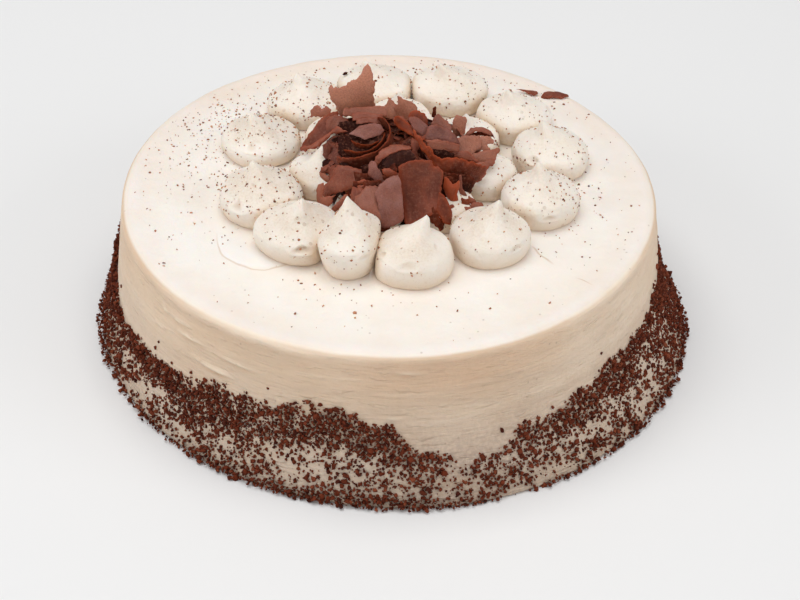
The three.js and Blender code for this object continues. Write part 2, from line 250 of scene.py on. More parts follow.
def lip_place(degrees, height, lip):
    """Where a place lies across a spatula lip, -1 at its lower side to 1, and how strong it is."""
    angle, middle, half_length, half_width, tilt, _ = lip
    along, up = off_middle(degrees, height, angle, middle, tilt, wall_ring)
    share = up / half_width
    return share, np.exp(-(share**2) - (along / half_length) ** 2)


def wall_relief(degrees, height):
    """What the spatula left on the wall: broad waves, long level streaks and a few lips."""
    ring = on_ring(degrees, wall_ring, height)
    relief = 0.35 * lattice_noise(ring, 30, 3)
    relief += 0.11 * lattice_noise(ring * (1, 1, 14), 38, 5, 2)
    relief += 0.07 * lattice_noise(ring * (1, 1, 6), 9, 7, 2)
    for lip in wall_lips:
        share, fade = lip_place(degrees, height, lip)
        relief += lip[-1] * lip_relief * share * fade
    return relief


def paler_smear_and_highlight(degrees, height):
    """How much paler colour lies at a place on the wall, 0 to 1: over each lip, and as painted
    highlight where the wall is lit brighter at the right and along the rim."""
    tone = np.zeros(np.broadcast(degrees, height).shape)
    for lip in wall_lips:
        _, fade = lip_place(degrees, height - 0.9 * lip[3], lip)
        tone += 0.9 * lip[-1] * fade
    for angle, spread, share, start, end in painted_highlights:
        tone += share * bell(degrees, angle, spread) * smooth_step(height, start, end)
    return np.clip(tone, 0, 1)


def cream_wall_radius(degrees, height):
    """Radius of the finished cream wall, its relief and the bank under the crumbs included."""
    radians = np.radians(degrees)
    uneven = 0.35 * np.sin(2 * radians + 1) + 0.25 * np.sin(5 * radians)
    line = crumb_zone_at(degrees)[0]
    calm = smooth_step(cake_height - height, 1, 6) * (1 - 0.6 * smooth_step(line - height, 0, 4))
    bank = side_bank["depth"] * bank_share(degrees) * np.clip(1 - height / line, 0, 1)
    pressed = 0.22 * lattice_noise(on_ring(degrees, skirt_ring, height), 2.4, 35)
    pressed = pressed * smooth_step(line - height, 0, 3)
    relief = calm * wall_relief(degrees, height)
    return cream_radius(height) + uneven + relief + pressed + side_bank["cream"] * bank


def stroke_place(x, y):
    """How far a place on the top is outside the stroke's round end, and how clear the end is there."""
    away = np.hypot(x - stroke_end["x"], y - stroke_end["y"])
    turn = np.degrees(np.arctan2(y - stroke_end["y"], x - stroke_end["x"])) - stroke_end["heading"]
    turn = (turn + 180) % 360 - 180
    waver = 0.8 * lattice_noise(np.stack([x, y, np.zeros_like(x)], -1), 7, 17)
    return away - stroke_end["radius"] - waver, bell(turn, 0, stroke_end["spread"])


def top_relief(x, y):
    """What the spatula left on the flat top, in mm up or down, about the cake's axis."""
    flat = np.stack([x, y, np.zeros_like(x)], -1)
    relief = 0.22 * lattice_noise(flat, 42, 11) + 0.04 * lattice_noise(flat * (1, 3, 1), 14, 13, 2)
    edge, shown = stroke_place(x, y)
    inside = smooth_step(edge, -16, -3) * (1 - smooth_step(edge, -0.5, 0.6))
    return relief + stroke_end["rise"] * shown * inside


def crumb_cover(degrees, height):
    """How thickly crumbs lie at a place on the wall, 0 to 1: a dense ragged belt along the upper
    line, an open lacework under it, bare smears, a thicker foot, and a few single crumbs above."""
    ring = on_ring(degrees, skirt_ring, height)
    ragged = 2.0 * lattice_noise(ring, 7, 21) + 2.6 * lattice_noise(ring, 2.6, 23)
    line, depth, thickness = crumb_zone_at(degrees)
    below = line - height + ragged
    start = smooth_step(below, -0.6, 1.6)
    patches = 0.42 * lattice_noise(ring, 2.5, 25, 2)
    belt = (0.93 + patches) * (1 - smooth_step(below, depth - 4, depth + 4))
    lace = thickness + 0.5 * lattice_noise(ring, 2.4, 27, 2) + 0.1 * lattice_noise(ring, 15, 29)
    heaped = foot_heap["low"] + foot_heap["added"] * bell(degrees, foot_heap["angle"], foot_heap["spread"])
    foot = 0.97 * (1 - smooth_step(height + 1.5 * lattice_noise(ring, 9, 31), heaped, heaped + 3))
    cover = start * np.maximum(np.maximum(belt, lace), foot)
    uneven = 0.5 * lattice_noise(ring, 3.5, 33)
    for angle, middle, half_arc, half_height, tilt, share in bare_smears:
        along, up = off_middle(degrees, height, angle, middle, tilt, skirt_ring)
        spot = (along / half_arc) ** 2 + (up / half_height) ** 2 + uneven
        cover = cover * (1 - share * np.exp(-(spot**2)))
    singles = 0.004 * (below < 0) * np.exp(np.minimum(below, 0) / 4)
    return np.clip(cover + singles, 0, 1)


def scatter_value(a, b):
    """A repeatable value from -1 to 1 for a pair of numbers."""
    wave = math.sin(a * 12.9898 + b * 78.233) * 43758.5453
    return 2 * (wave - math.floor(wave)) - 1


def kiss_at(name, ring, degrees, reach, sizes, lean, drawn):
    """A kiss at degrees round a ring and a reach from its middle; its sizes are width, length and
    height, and its length points away from the middle."""
    radians = math.radians(degrees)
    width, length, height = sizes
    return dict(
        name=name, x=ring["x"] + reach * math.cos(radians), y=ring["y"] + reach * math.sin(radians),
        radians=radians, along=length / 2, across=width / 2, height=height, lean=lean, drawn=drawn,
    )


def list_kisses():
    """Every kiss, first the outer ring and then the inner one."""
    found = []
    for i, (angle, off, width, length, height, lean, drawn) in enumerate(outer_kisses):
        name, reach = f"dollop_outer_{i + 1:02d}", outer_ring["radius"] + off
        found.append(kiss_at(name, outer_ring, angle, reach, (width, length, height), lean, drawn))
    for i, angle in enumerate(inner_angles):
        name, reach = f"dollop_inner_{i + 1}", inner_ring["radius"]
        sizes = (inner_kiss["width"], inner_kiss["width"], inner_kiss["height"])
        lean = (inner_kiss["lean"] * scatter_value(i, 3), inner_kiss["lean"] * scatter_value(i, 7))
        found.append(kiss_at(name, inner_ring, angle, reach, sizes, lean, inner_kiss["drawn"]))
    return found


def kiss_contact(x, y):
    """How close a place on the flat top is to the foot of a kiss, 1 under it and 0 well away,
    and how close to the foot of a second kiss."""
    nearest, second = np.zeros_like(x), np.zeros_like(x)
    for kiss in kisses:
        cos, sin = math.cos(kiss["radians"]), math.sin(kiss["radians"])
        along = (x - kiss["x"]) * cos + (y - kiss["y"]) * sin
        side = (y - kiss["y"]) * cos - (x - kiss["x"]) * sin
        out = np.hypot(along / kiss["along"], side / kiss["across"])
        gap = np.maximum((out - 0.92 + 0.16 * kiss["drawn"]) * (kiss["along"] + kiss["across"]) / 2, 0)
        near = bell(gap, 0, foot_shade_width)
        second = np.maximum(second, np.minimum(nearest, near))
        nearest = np.maximum(nearest, near)
    return nearest, second


kisses = list_kisses()


def ring_stack(name, rings):
    """A closed mesh over a stack of rings of points in mm, from its lowest ring to its highest."""
    rows, around, _ = rings.shape
    ends = np.stack([rings[0].mean(0), rings[-1].mean(0)])
    points = np.concatenate([rings.reshape(-1, 3), ends]) * MM
    step = np.arange(around)
    following = (step + 1) % around
    faces = []
    for row in range(rows - 1):
        low, high = row * around, (row + 1) * around
        faces += zip(low + step, low + following, high + following, high + step)
    bottom, top, last = rows * around, rows * around + 1, (rows - 1) * around
    faces += zip(following, step, np.full(around, bottom))
    faces += zip(last + step, last + following, np.full(around, top))
    mesh = bpy.data.meshes.new(name)
    mesh.from_pydata(points.tolist(), [], [tuple(int(i) for i in face) for face in faces])
    mesh.shade_smooth()
    return mesh


def point_values(mesh, name, values):
    """Gives every point of a mesh a number that a material or a node tree reads by name."""
    attribute = mesh.attributes.new(name, "FLOAT", "POINT")
    attribute.data.foreach_set("value", np.ascontiguousarray(values, np.float32).ravel())


def ring_values(mesh, name, values, ends=(0, 0)):
    """Gives every point of a stack of rings a number, and then the middles of its two ends."""
    point_values(mesh, name, np.append(values.ravel(), ends))


def stand(name, mesh, slot, *nodes):
    """Shows a mesh as a piece of the cake, riding on its one body in place of its CAD nodes."""
    piece = bpy.data.objects.new(name, mesh)
    bpy.context.scene.collection.objects.link(piece)
    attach(piece, "root")
    if nodes:
        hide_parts(*nodes)
    return piece


def node(tree, kind, inputs=(), **settings):
    """Adds a node to a tree, with its settings and its inputs' links or values."""
    made = tree.nodes.new(kind)
    for name, value in settings.items():
        setattr(made, name, value)
    for socket, value in dict(inputs).items():
        if isinstance(value, bpy.types.NodeSocket):
            tree.links.new(value, made.inputs[socket])
        else:
            made.inputs[socket].default_value = value
    return made


def add_sockets(tree, direction, kind, *labels):
    """Adds named inputs or outputs of one kind to a node group."""
    for label in labels:
        tree.interface.new_socket(label, in_out=direction, socket_type="NodeSocket" + kind)


def linear(red, green, blue):
    """Linear light for a colour given as 0 to 255 on a screen."""
    shares = [channel / 255 for channel in (red, green, blue)]
    return tuple(c / 12.92 if c <= 0.04045 else ((c + 0.055) / 1.055) ** 2.4 for c in shares)


def ramp(tree, factor, *stops):
    """A colour ramp through (position, colour) stops; colours are 0 to 255 on a screen."""
    made = node(tree, "ShaderNodeValToRGB", {"Fac": factor})
    elements = made.color_ramp.elements
    while len(elements) < len(stops):
        elements.new(0.5)
    for element, (position, colour) in zip(elements, stops):
        element.position = position
        element.color = (*linear(*colour), 1)
    return made.outputs["Color"]


def mix_colour(tree, factor, first, second, blend="MIX"):
    """The mix of two colours by a factor; a plain colour is 0 to 255 on a screen."""
    made = node(tree, "ShaderNodeMix", data_type="RGBA", blend_type=blend)
    for index, value in ((0, factor), (6, first), (7, second)):
        if isinstance(value, bpy.types.NodeSocket):
            tree.links.new(value, made.inputs[index])
        else:
            made.inputs[index].default_value = (*linear(*value), 1)
    return made.outputs[2]


def calculate(tree, operation, *values):
    """A Math node's result."""
    return node(tree, "ShaderNodeMath", dict(enumerate(values)), operation=operation).outputs[0]


def times(tree, first, second):
    """The product of two values."""
    return calculate(tree, "MULTIPLY", first, second)


def plus(tree, first, second):
    """The sum of two values."""
    return calculate(tree, "ADD", first, second)


def vectors(tree, operation, *values, **more):
    """A Vector Math node's result: a number for a length or a dot product, otherwise a vector."""
    made = node(tree, "ShaderNodeVectorMath", dict(enumerate(values)) | more, operation=operation)
    return made.outputs["Value" if operation in ("LENGTH", "DOT_PRODUCT") else "Vector"]


def remap(tree, value, low, high, new_low, new_high):
    """A value carried from one range to another, and held inside it."""
    keys = {"Value": value, "From Min": low, "From Max": high, "To Min": new_low, "To Max": new_high}
    return node(tree, "ShaderNodeMapRange", keys).outputs["Result"]


def noise(tree, place, scale, detail, **more):
    """A soft noise over a place, mostly between 0.3 and 0.7."""
    keys = {"Vector": place, "Scale": scale, "Detail": detail} | more
    return node(tree, "ShaderNodeTexNoise", keys).outputs["Fac"]


def painted(tree, label):
    """The number that a mesh carries at every point under a label."""
    return node(tree, "ShaderNodeAttribute", attribute_name=label).outputs["Fac"]


def squeezed(tree, place, *scale):
    """A place scaled along its axes, which draws a pattern out along the others."""
    return node(tree, "ShaderNodeMapping", {"Vector": place, "Scale": scale}).outputs["Vector"]


def tinted(tree, body, mask, share, colour):
    """A body colour tinted with another where a mask lies, by a share of the mask."""
    return mix_colour(tree, times(tree, mask, share), body, colour)


def new_material(name):
    """An empty node material with its surface shader and its Object coordinates."""
    material = bpy.data.materials.new(name)
    material.use_nodes = True
    tree = material.node_tree
    shader = tree.nodes["Principled BSDF"]
    coordinates = node(tree, "ShaderNodeTexCoord").outputs["Object"]
    return material, tree, shader, coordinates


def finish_surface(tree, shader, colour, roughness, relief, strength, depth):
    """Gives a surface its colour, its roughness and the fine relief of a bump."""
    bump = node(tree, "ShaderNodeBump", {"Height": relief, "Strength": strength, "Distance": depth})
    tree.links.new(colour, shader.inputs["Base Color"])
    tree.links.new(roughness, shader.inputs["Roughness"])
    tree.links.new(bump.outputs["Normal"], shader.inputs["Normal"])


def let_light_in(shader, weight, depth, colours):
    """Lets light a little way into a surface, to a depth for red, green and blue."""
    shader.inputs["Subsurface Weight"].default_value = weight
    shader.inputs["Subsurface Scale"].default_value = depth
    shader.inputs["Subsurface Radius"].default_value = colours


def whipped_cream_group():
    """What all the cream shares: the fine grain of whipped cream and its scattered air pits."""
    group = bpy.data.node_groups.new("whipped_cream", "ShaderNodeTree")
    add_sockets(group, "INPUT", "Vector", "Place")
    add_sockets(group, "INPUT", "Float", "Pit Size")
    add_sockets(group, "OUTPUT", "Float", "Height", "Mottle", "Pits")
    place, pit_size, _ = group.nodes.new("NodeGroupInput").outputs
    pits = node(group, "ShaderNodeTexVoronoi", {"Vector": place, "Scale": 260, "Randomness": 1})
    hole = calculate(group, "LESS_THAN", pits.outputs["Distance"], pit_size)
    hole = times(group, hole, remap(group, noise(group, place, 75, 1), 0.56, 0.62, 0, 1))
    height = plus(group, times(group, noise(group, place, 900, 3), 0.25), noise(group, place, 210, 3))
    height = calculate(group, "SUBTRACT", height, times(group, hole, 0.6))
    ends = {"Height": height, "Mottle": noise(group, place, 42, 4), "Pits": hole}
    node(group, "NodeGroupOutput", ends).is_active_output = True
    return group


whipped_cream = whipped_cream_group()
# How light goes into the cream: weight, depth in metres, and the colours' own shares of the depth
cream_light = (0.25, 0.0035, (1.0, 0.62, 0.4))
# The smoothed cream's colour from the foot to the top, by share of the height: the wall is warmer and
# darker than the top, and darker still towards the foot and in a band at the rounded rim, as painted shade
frosting_by_height = [
    (0.0, (208, 190, 171)), (0.3, (223, 203, 183)), (0.5, (232, 210, 187)), (0.8, (234, 209, 182)),
    (0.96, (235, 208, 180)), (0.98, (224, 197, 170)), (0.991, (248, 240, 230)), (1.0, (249, 244, 239)),
]
# Its other tones: painted warm shade on the front wall and round the top's edge, paler over the lips and as
# painted highlight, painted shade beside a kiss, streaked, mottled, painted shade in a pit, along a drawn
# line, and smudged with crumb
frosting_tones = dict(
    warm_shade=(226, 190, 158), smear_and_highlight=(251, 238, 220), contact=(222, 188, 154), streak=(206, 180, 156),
    mottle=(232, 216, 198), pit=(150, 118, 92), line=(206, 176, 146), smudge_and_shade=(108, 64, 44),
)
# A line drawn in the top: how far it wavers, and its half width at its darkest and at its edge
line_waver = 1.2 * MM
line_core = 0.1 * MM
line_edge = 0.55 * MM


def on_top(x, y):
    """A place on the flat top about the cake's axis, in metres and level with the foot."""
    return ((x + axis_x) * MM, (y + axis_y) * MM, 0)


def wavered(tree, place, distance, scale):
    """A distance from a line, made uneven so that the line wavers."""
    uneven = remap(tree, noise(tree, place, scale, 1), 0.3, 0.7, -line_waver, line_waver)
    return plus(tree, distance, uneven)


def thin_line(tree, off, strength):
    """How dark a thin line is at a distance off its middle."""
    return remap(tree, calculate(tree, "ABSOLUTE", off), line_core, line_edge, strength, 0)


def drawn_line(tree, place, start, length, heading):
    """How far a place lies in a thin line that was drawn in the top, from a start along a heading."""
    keys = {"Vector": place, "Location": on_top(*start), "Rotation": (0, 0, math.radians(heading))}
    own = node(tree, "ShaderNodeMapping", keys, vector_type="TEXTURE").outputs["Vector"]
    along, across, _ = node(tree, "ShaderNodeSeparateXYZ", {"Vector": own}).outputs
    line = thin_line(tree, wavered(tree, place, across, 90), 0.6)
    begun = remap(tree, along, 0, 3 * MM, 0, 1)
    left = remap(tree, along, (length - 4) * MM, length * MM, 1, 0)
    return times(tree, line, times(tree, begun, left))


def stroke_edge(tree, place):
    """How far a place lies in the thin shade along the stroke's round end."""
    flat = vectors(tree, "MULTIPLY", place, (1, 1, 0))
    away = vectors(tree, "SUBTRACT", flat, on_top(stroke_end["x"], stroke_end["y"]))
    reach = wavered(tree, place, vectors(tree, "LENGTH", away), 70)
    line = thin_line(tree, calculate(tree, "SUBTRACT", reach, stroke_end["radius"] * MM), 0.5)
    heading = math.radians(stroke_end["heading"])
    toward = vectors(tree, "DOT_PRODUCT", away, (math.cos(heading), math.sin(heading), 0))
    facing = calculate(tree, "DIVIDE", toward, stroke_end["radius"] * MM)
    return times(tree, line, remap(tree, facing, 0.35, 0.75, 0, 1))


def frosting_colour(tree, place, share, wall, surface):
    """Nearly white on top, warmer and darker on the wall as painted shade, with painted highlights and
    painted shade tints, streaked by the spatula, and stained by crumbs.
    """
    body = ramp(tree, share, *frosting_by_height)
    for label, amount in (("warm_shade", 0.7), ("smear_and_highlight", 0.85), ("contact", 0.45)):
        body = tinted(tree, body, painted(tree, label), amount, frosting_tones[label])
    streaks = noise(tree, squeezed(tree, place, 1, 1, 11), 15, 3)
    streak = times(tree, remap(tree, streaks, 0.4, 0.7, 0, 0.4), wall)
    body = mix_colour(tree, streak, body, frosting_tones["streak"])
    mottle = remap(tree, surface["Mottle"], 0.35, 0.7, 0, 0.24)
    body = mix_colour(tree, mottle, body, frosting_tones["mottle"], "MULTIPLY")
    # Painted shade darkens the air pits
    body = tinted(tree, body, surface["Pits"], 0.3, frosting_tones["pit"])
    for line in top_lines:
        body = mix_colour(tree, drawn_line(tree, place, *line), body, frosting_tones["line"])
    body = mix_colour(tree, stroke_edge(tree, place), body, frosting_tones["line"])
    dust = remap(tree, noise(tree, place, 700, 3), 0.38, 0.6, 0.45, 1)
    return mix_colour(tree, times(tree, painted(tree, "crumb_stain_and_shade"), dust), body, frosting_tones["smudge_and_shade"])


def frosting_relief(tree, place, wall, surface):
    """The fine relief of the smoothed cream; on the wall the spatula's drags, peel and dashes too."""
    drags = noise(tree, squeezed(tree, place, 1, 1, 9), 95, 4)
    relief = times(tree, times(tree, drags, 2.3), wall)
    relief = plus(tree, relief, times(tree, noise(tree, place, 330, 2, Roughness=0.6), wall))
    dashes = noise(tree, squeezed(tree, place, 1, 1, 3.2), 130, 1)
    relief = plus(tree, relief, times(tree, remap(tree, dashes, 0.6, 0.7, 0, 1), wall))
    return plus(tree, surface["Height"], relief)


def frosting_material():
    """Smoothed whipped cream: a soft satin surface that light goes a little way into."""
    material, tree, shader, place = new_material("smoothed_cream")
    keys = {"Place": place, "Pit Size": 0.11}
    surface = node(tree, "ShaderNodeGroup", keys, node_tree=whipped_cream).outputs
    height = node(tree, "ShaderNodeSeparateXYZ", {"Vector": place}).outputs["Z"]
    share = remap(tree, height, 0, cake_height * MM, 0, 1)
    wall = remap(tree, share, 0.93, 0.99, 1, 0)
    body = frosting_colour(tree, place, share, wall, surface)
    roughness = remap(tree, surface["Mottle"], 0.3, 0.7, 0.46, 0.6)
    relief = frosting_relief(tree, place, wall, surface)
    finish_surface(tree, shader, body, roughness, relief, 0.7, 0.6 * MM)
    shader.inputs["Specular IOR Level"].default_value = 0.3
    let_light_in(shader, *cream_light)
    return material


def level_ring(degrees, radius, height):
    """A level ring of points round the cake at one height."""
    return around_cake(degrees, radius, np.full(len(degrees), height))


def cream_rings(degrees):
    """The cake's rings: flat foot, rounded foot edge, skirt and wall, rounded rim, and the top."""
    foot = cream_wall_radius(degrees, np.full(len(degrees), foot_round))
    rings = [level_ring(degrees, foot * share, 0.0) for share in foot_rings]
    for rise in (0, 30, 60):
        out = foot - foot_round * (1 - math.sin(math.radians(rise)))
        rings.append(level_ring(degrees, out, foot_round * (1 - math.cos(math.radians(rise)))))
    for height in np.concatenate([np.linspace(*stretch) for stretch in wall_rings]):
        level = np.full(len(degrees), height)
        rings.append(around_cake(degrees, cream_wall_radius(degrees, level), level))
    rim = cream_wall_radius(degrees, np.full(len(degrees), wall_top)) - edge_reach
    waver = 0.25 * lattice_noise(on_ring(degrees, rim_ring, 0 * degrees), 9, 41)
    for rise in np.linspace(10, 86, 9):
        out = rim + (edge_reach + waver) * math.cos(math.radians(rise))
        rings.append(level_ring(degrees, out, wall_top + edge_round * math.sin(math.radians(rise))))
    for share in np.concatenate([np.linspace(*stretch) for stretch in top_rings]):
        ring = level_ring(degrees, rim * share, cake_height)
        x, y = ring[:, 0] - axis_x, ring[:, 1] - axis_y
        relief = top_relief(x, y) - top_dip
        near, second = kiss_contact(x, y)
        relief += foot_fillet * near**2 + foot_web * second**2
        ring[:, 2] += relief * smooth_step(1 - share, 0, 0.05)
        rings.append(ring)
    return np.array(rings)


def cream_body_mesh():
    """The cake's own mesh, with the numbers that its material reads at every point."""
    degrees = np.arange(steps_round) * 360 / steps_round - 180
    rings = cream_rings(degrees)
    mesh = ring_stack("smoothed_cream", rings)
    x, y, heights = rings[..., 0] - axis_x, rings[..., 1] - axis_y, rings[..., 2]
    angles = np.broadcast_to(degrees, heights.shape)
    on_wall, on_flat = heights < wall_top, heights > cake_height - flat_margin
    above = np.maximum(heights - crumb_zone_at(angles)[0], 0)
    # A faint crumb smudge just above the crumbs' upper line all round, and a painted shade patch low on the
    # front wall near 17 degrees
    halo = 0.06 * np.exp(-above / 6) + 0.3 * bell(angles, 17, 13) * bell(above, 0, 11)
    crumb_stain_and_shade = np.maximum(0.2 * smooth_step(crumb_cover(angles, heights), 0.5, 1), halo)
    # Painted warm shade: on the upper front wall, and round the edge of the top, most at the rear
    rear = 0.18 + 0.22 * smooth_step(y, 0, 90)
    warm_shade = bell(angles, 14, 20) * smooth_step(heights, 38, 52) * on_wall
    for label, values in (
        ("crumb_stain_and_shade", crumb_stain_and_shade * on_wall),
        ("smear_and_highlight", paler_smear_and_highlight(angles, heights) * (heights < cake_height - flat_margin)),
        ("warm_shade", warm_shade + rear * smooth_step(np.hypot(x, y), 84, 101) * on_flat),
        ("contact", kiss_contact(x, y)[0] * (heights > wall_top)),
    ):
        ring_values(mesh, label, values)
    return mesh


cream_mesh = cream_body_mesh()
cream_mesh.materials.append(frosting_material())
stand("smoothed_cream", cream_mesh, "frosting", "cake")

# ---- Crumb coat ----
# Chocolate cake crumbs pressed by hand into the soft cream round the skirt while the cake turned.
# Node trees scatter craggy lumps over a sheet that follows the cream: coarse crumbs, fine crumbs,
# dust, and the pile that gathers along the foot.
crumb_sheet_rows = 64
# The sheet's lowest row, and how far it goes on over the crumbs' upper line
crumb_sheet_foot = 0.6
crumb_sheet_over = 9
# How high the crumbs pile: everywhere, in the dense belt, along the foot, and on the side bank
crumb_pile = {"least": 0.1, "belt": 0.8, "foot": 1.5, "bank": 1.2}
# Nothing that is scattered comes lower than this over the table
table_clearance = 0.05 * MM


def sheet_mesh(name, points, turned_over=False):
    """A sheet over a grid of points in mm, with a face to each square of the grid."""
    mesh = bpy.data.meshes.new(name)
    grid = np.arange(points.shape[0] * points.shape[1]).reshape(points.shape[:2])
    corners = [grid[:-1, :-1], grid[:-1, 1:], grid[1:, 1:], grid[1:, :-1]]
    if turned_over:
        corners[1], corners[3] = corners[3], corners[1]
    faces = np.stack(corners, -1).reshape(-1, 4)
    mesh.from_pydata((points * MM).reshape(-1, 3).tolist(), [], faces.tolist())
    return mesh


def crumb_sheet():
    """The sheet that carries the crumbs, with how thickly they lie and how high they pile."""
    degrees = np.arange(steps_round + 1) * 360 / steps_round - 180
    line = crumb_zone_at(degrees)[0]
    shares = np.linspace(0, 1, crumb_sheet_rows)[:, None]
    heights = crumb_sheet_foot + shares * (line + crumb_sheet_over)
    angles = np.broadcast_to(degrees, heights.shape)
    mesh = sheet_mesh("crumb_sheet", around_cake(angles, cream_wall_radius(angles, heights), heights))
    bank = bank_share(angles) * (heights < line)
    foot = np.exp(-heights / 4.5)
    cover = crumb_cover(angles, heights)
    pile = crumb_pile["least"] + crumb_pile["belt"] * smooth_step(cover, 0.6, 1)
    pile = pile + crumb_pile["foot"] * foot + crumb_pile["bank"] * bank
    point_values(mesh, "cover", cover)
    point_values(mesh, "pile", pile * MM)
    return mesh


def scatter_tree(name, seed):
    """Lumps scattered over a surface by its 'cover', lifted by its 'pile', and made craggy."""
    tree = bpy.data.node_groups.new(name, "GeometryNodeTree")
    add_sockets(tree, "INPUT", "Geometry", "Geometry")
    add_sockets(tree, "INPUT", "Float", "Per Square Metre", "Spacing", "Gathering", "Smallest", "Largest")
    add_sockets(tree, "INPUT", "Float", "Size Bias", "Flatness", "Cragginess")
    add_sockets(tree, "INPUT", "Int", "Segments", "Rings")
    add_sockets(tree, "INPUT", "Material", "Material")
    add_sockets(tree, "OUTPUT", "Geometry", "Geometry")
    given = tree.nodes.new("NodeGroupInput").outputs

    def named(label, kind="FLOAT"):
        made = node(tree, "GeometryNodeInputNamedAttribute", {"Name": label}, data_type=kind)
        return made.outputs["Attribute"]

    def chance(low, high, shift):
        inputs = {2: low, 3: high, "Seed": seed + shift}
        return node(tree, "FunctionNodeRandomValue", inputs, data_type="FLOAT").outputs[1]

    def chance_vector(low, high, shift):
        inputs = {0: (low, low, low), 1: (high, high, high), "Seed": seed + shift}
        return node(tree, "FunctionNodeRandomValue", inputs, data_type="FLOAT_VECTOR").outputs[0]

    def stored(shape, label, value, **kind):
        inputs = {"Geometry": shape, "Name": label, "Value": value}
        return node(tree, "GeometryNodeStoreNamedAttribute", inputs, **kind).outputs[0]

    def moved(shape, offset):
        inputs = {"Geometry": shape, "Offset": offset}
        return node(tree, "GeometryNodeSetPosition", inputs).outputs[0]

    density = calculate(tree, "POWER", named("cover"), given["Gathering"])
    spots = node(
        tree, "GeometryNodeDistributePointsOnFaces",
        {"Mesh": given["Geometry"], "Distance Min": given["Spacing"], "Seed": seed,
         "Density Max": given["Per Square Metre"], "Density Factor": density},
        distribute_method="POISSON",
    )
    lift = times(tree, named("pile"), chance(-0.3, 1.0, 1))
    lifted = moved(spots.outputs["Points"], vectors(tree, "SCALE", spots.outputs["Normal"], Scale=lift))
    sizes = {"Segments": given["Segments"], "Rings": given["Rings"], "Radius": 0.5}
    ball = node(tree, "GeometryNodeMeshUVSphere", sizes).outputs["Mesh"]
    middle = node(tree, "GeometryNodeInputPosition").outputs[0]
    lump = stored(ball, "lump", middle, data_type="FLOAT_VECTOR")
    biased = calculate(tree, "POWER", chance(0, 1, 2), given["Size Bias"])
    spread = calculate(tree, "SUBTRACT", given["Largest"], given["Smallest"])
    size = plus(tree, given["Smallest"], times(tree, biased, spread))
    flat = node(tree, "ShaderNodeCombineXYZ", {"X": 1, "Y": 1, "Z": given["Flatness"]}).outputs[0]
    shape = vectors(tree, "MULTIPLY", chance_vector(0.62, 1.35, 3), flat)
    scale = vectors(tree, "SCALE", shape, Scale=size)
    placing = {"Points": lifted, "Instance": lump, "Rotation": chance_vector(0, 6.283, 4), "Scale": scale}
    placed = node(tree, "GeometryNodeInstanceOnPoints", placing).outputs[0]
    toned = stored(placed, "tone", chance(0, 1, 5), data_type="FLOAT", domain="INSTANCE")
    sized = stored(toned, "size", size, data_type="FLOAT", domain="INSTANCE")
    real = node(tree, "GeometryNodeRealizeInstances", {"Geometry": sized}).outputs[0]
    place, own = named("lump", "FLOAT_VECTOR"), times(tree, named("tone"), 300)
    keys = {"Vector": place, "W": own, "Scale": 2.4, "Detail": 1}
    rough = node(tree, "ShaderNodeTexNoise", keys, noise_dimensions="4D").outputs["Color"]
    centred = vectors(tree, "SUBTRACT", rough, (0.5, 0.5, 0.5))
    crag = times(tree, named("size"), given["Cragginess"])
    shaped = moved(real, vectors(tree, "SCALE", centred, Scale=crag))
    keys = {"Geometry": shaped, "Material": given["Material"]}
    finished = node(tree, "GeometryNodeSetMaterial", keys).outputs[0]
    node(tree, "NodeGroupOutput", {"Geometry": finished})
    return tree


def scatter_over(mesh, name, seed, material, **sizes):
    """The plain mesh of lumps that a scatter tree makes over a mesh, which isn't kept itself."""
    carrier = bpy.data.objects.new(name + "_carrier", mesh)
    bpy.context.scene.collection.objects.link(carrier)
    modifier = carrier.modifiers.new("scatter", "NODES")
    modifier.node_group = scatter_tree(name, seed)
    wanted = {key.replace("_", " ").title(): value for key, value in sizes.items()} | {"Material": material}
    for item in modifier.node_group.interface.items_tree:
        if item.in_out == "INPUT" and item.name in wanted:
            modifier[item.identifier] = wanted[item.name]
    graph = bpy.context.evaluated_depsgraph_get()
    scattered = carrier.evaluated_get(graph)
    made = bpy.data.meshes.new_from_object(scattered, preserve_all_data_layers=True, depsgraph=graph)
    made.name = name
    places = np.empty(len(made.vertices) * 3, np.float32)
    made.vertices.foreach_get("co", places)
    places[2::3] = np.maximum(places[2::3], table_clearance)
    made.vertices.foreach_set("co", places)
    for unused in ("lump", "size"):
        if unused in made.attributes:
            made.attributes.remove(made.attributes[unused])
    carrier.modifiers.clear()
    bpy.data.objects.remove(carrier)
    made.shade_smooth()
    return made


def crumb_material():
    """Chocolate cake crumb: a dull, open, dark brown sponge whose torn faces differ in tone."""
    material, tree, shader, place = new_material("cake_crumb")
    tones = [(0.0, (74, 24, 8)), (0.4, (112, 45, 18)), (0.8, (126, 56, 31)), (1.0, (146, 76, 48))]
    colour = ramp(tree, painted(tree, "tone"), *tones)
    pores = node(tree, "ShaderNodeTexVoronoi", {"Vector": place, "Scale": 2600}).outputs["Distance"]
    grain = noise(tree, place, 1800, 3)
    # Painted shade darkens the sponge's pores
    colour = mix_colour(tree, remap(tree, pores, 0.1, 0.5, 0.6, 0), colour, (58, 24, 13))
    roughness = remap(tree, grain, 0.3, 0.7, 0.75, 0.95)
    finish_surface(tree, shader, colour, roughness, plus(tree, grain, pores), 0.8, 0.3 * MM)
    shader.inputs["Specular IOR Level"].default_value = 0.25
    return material


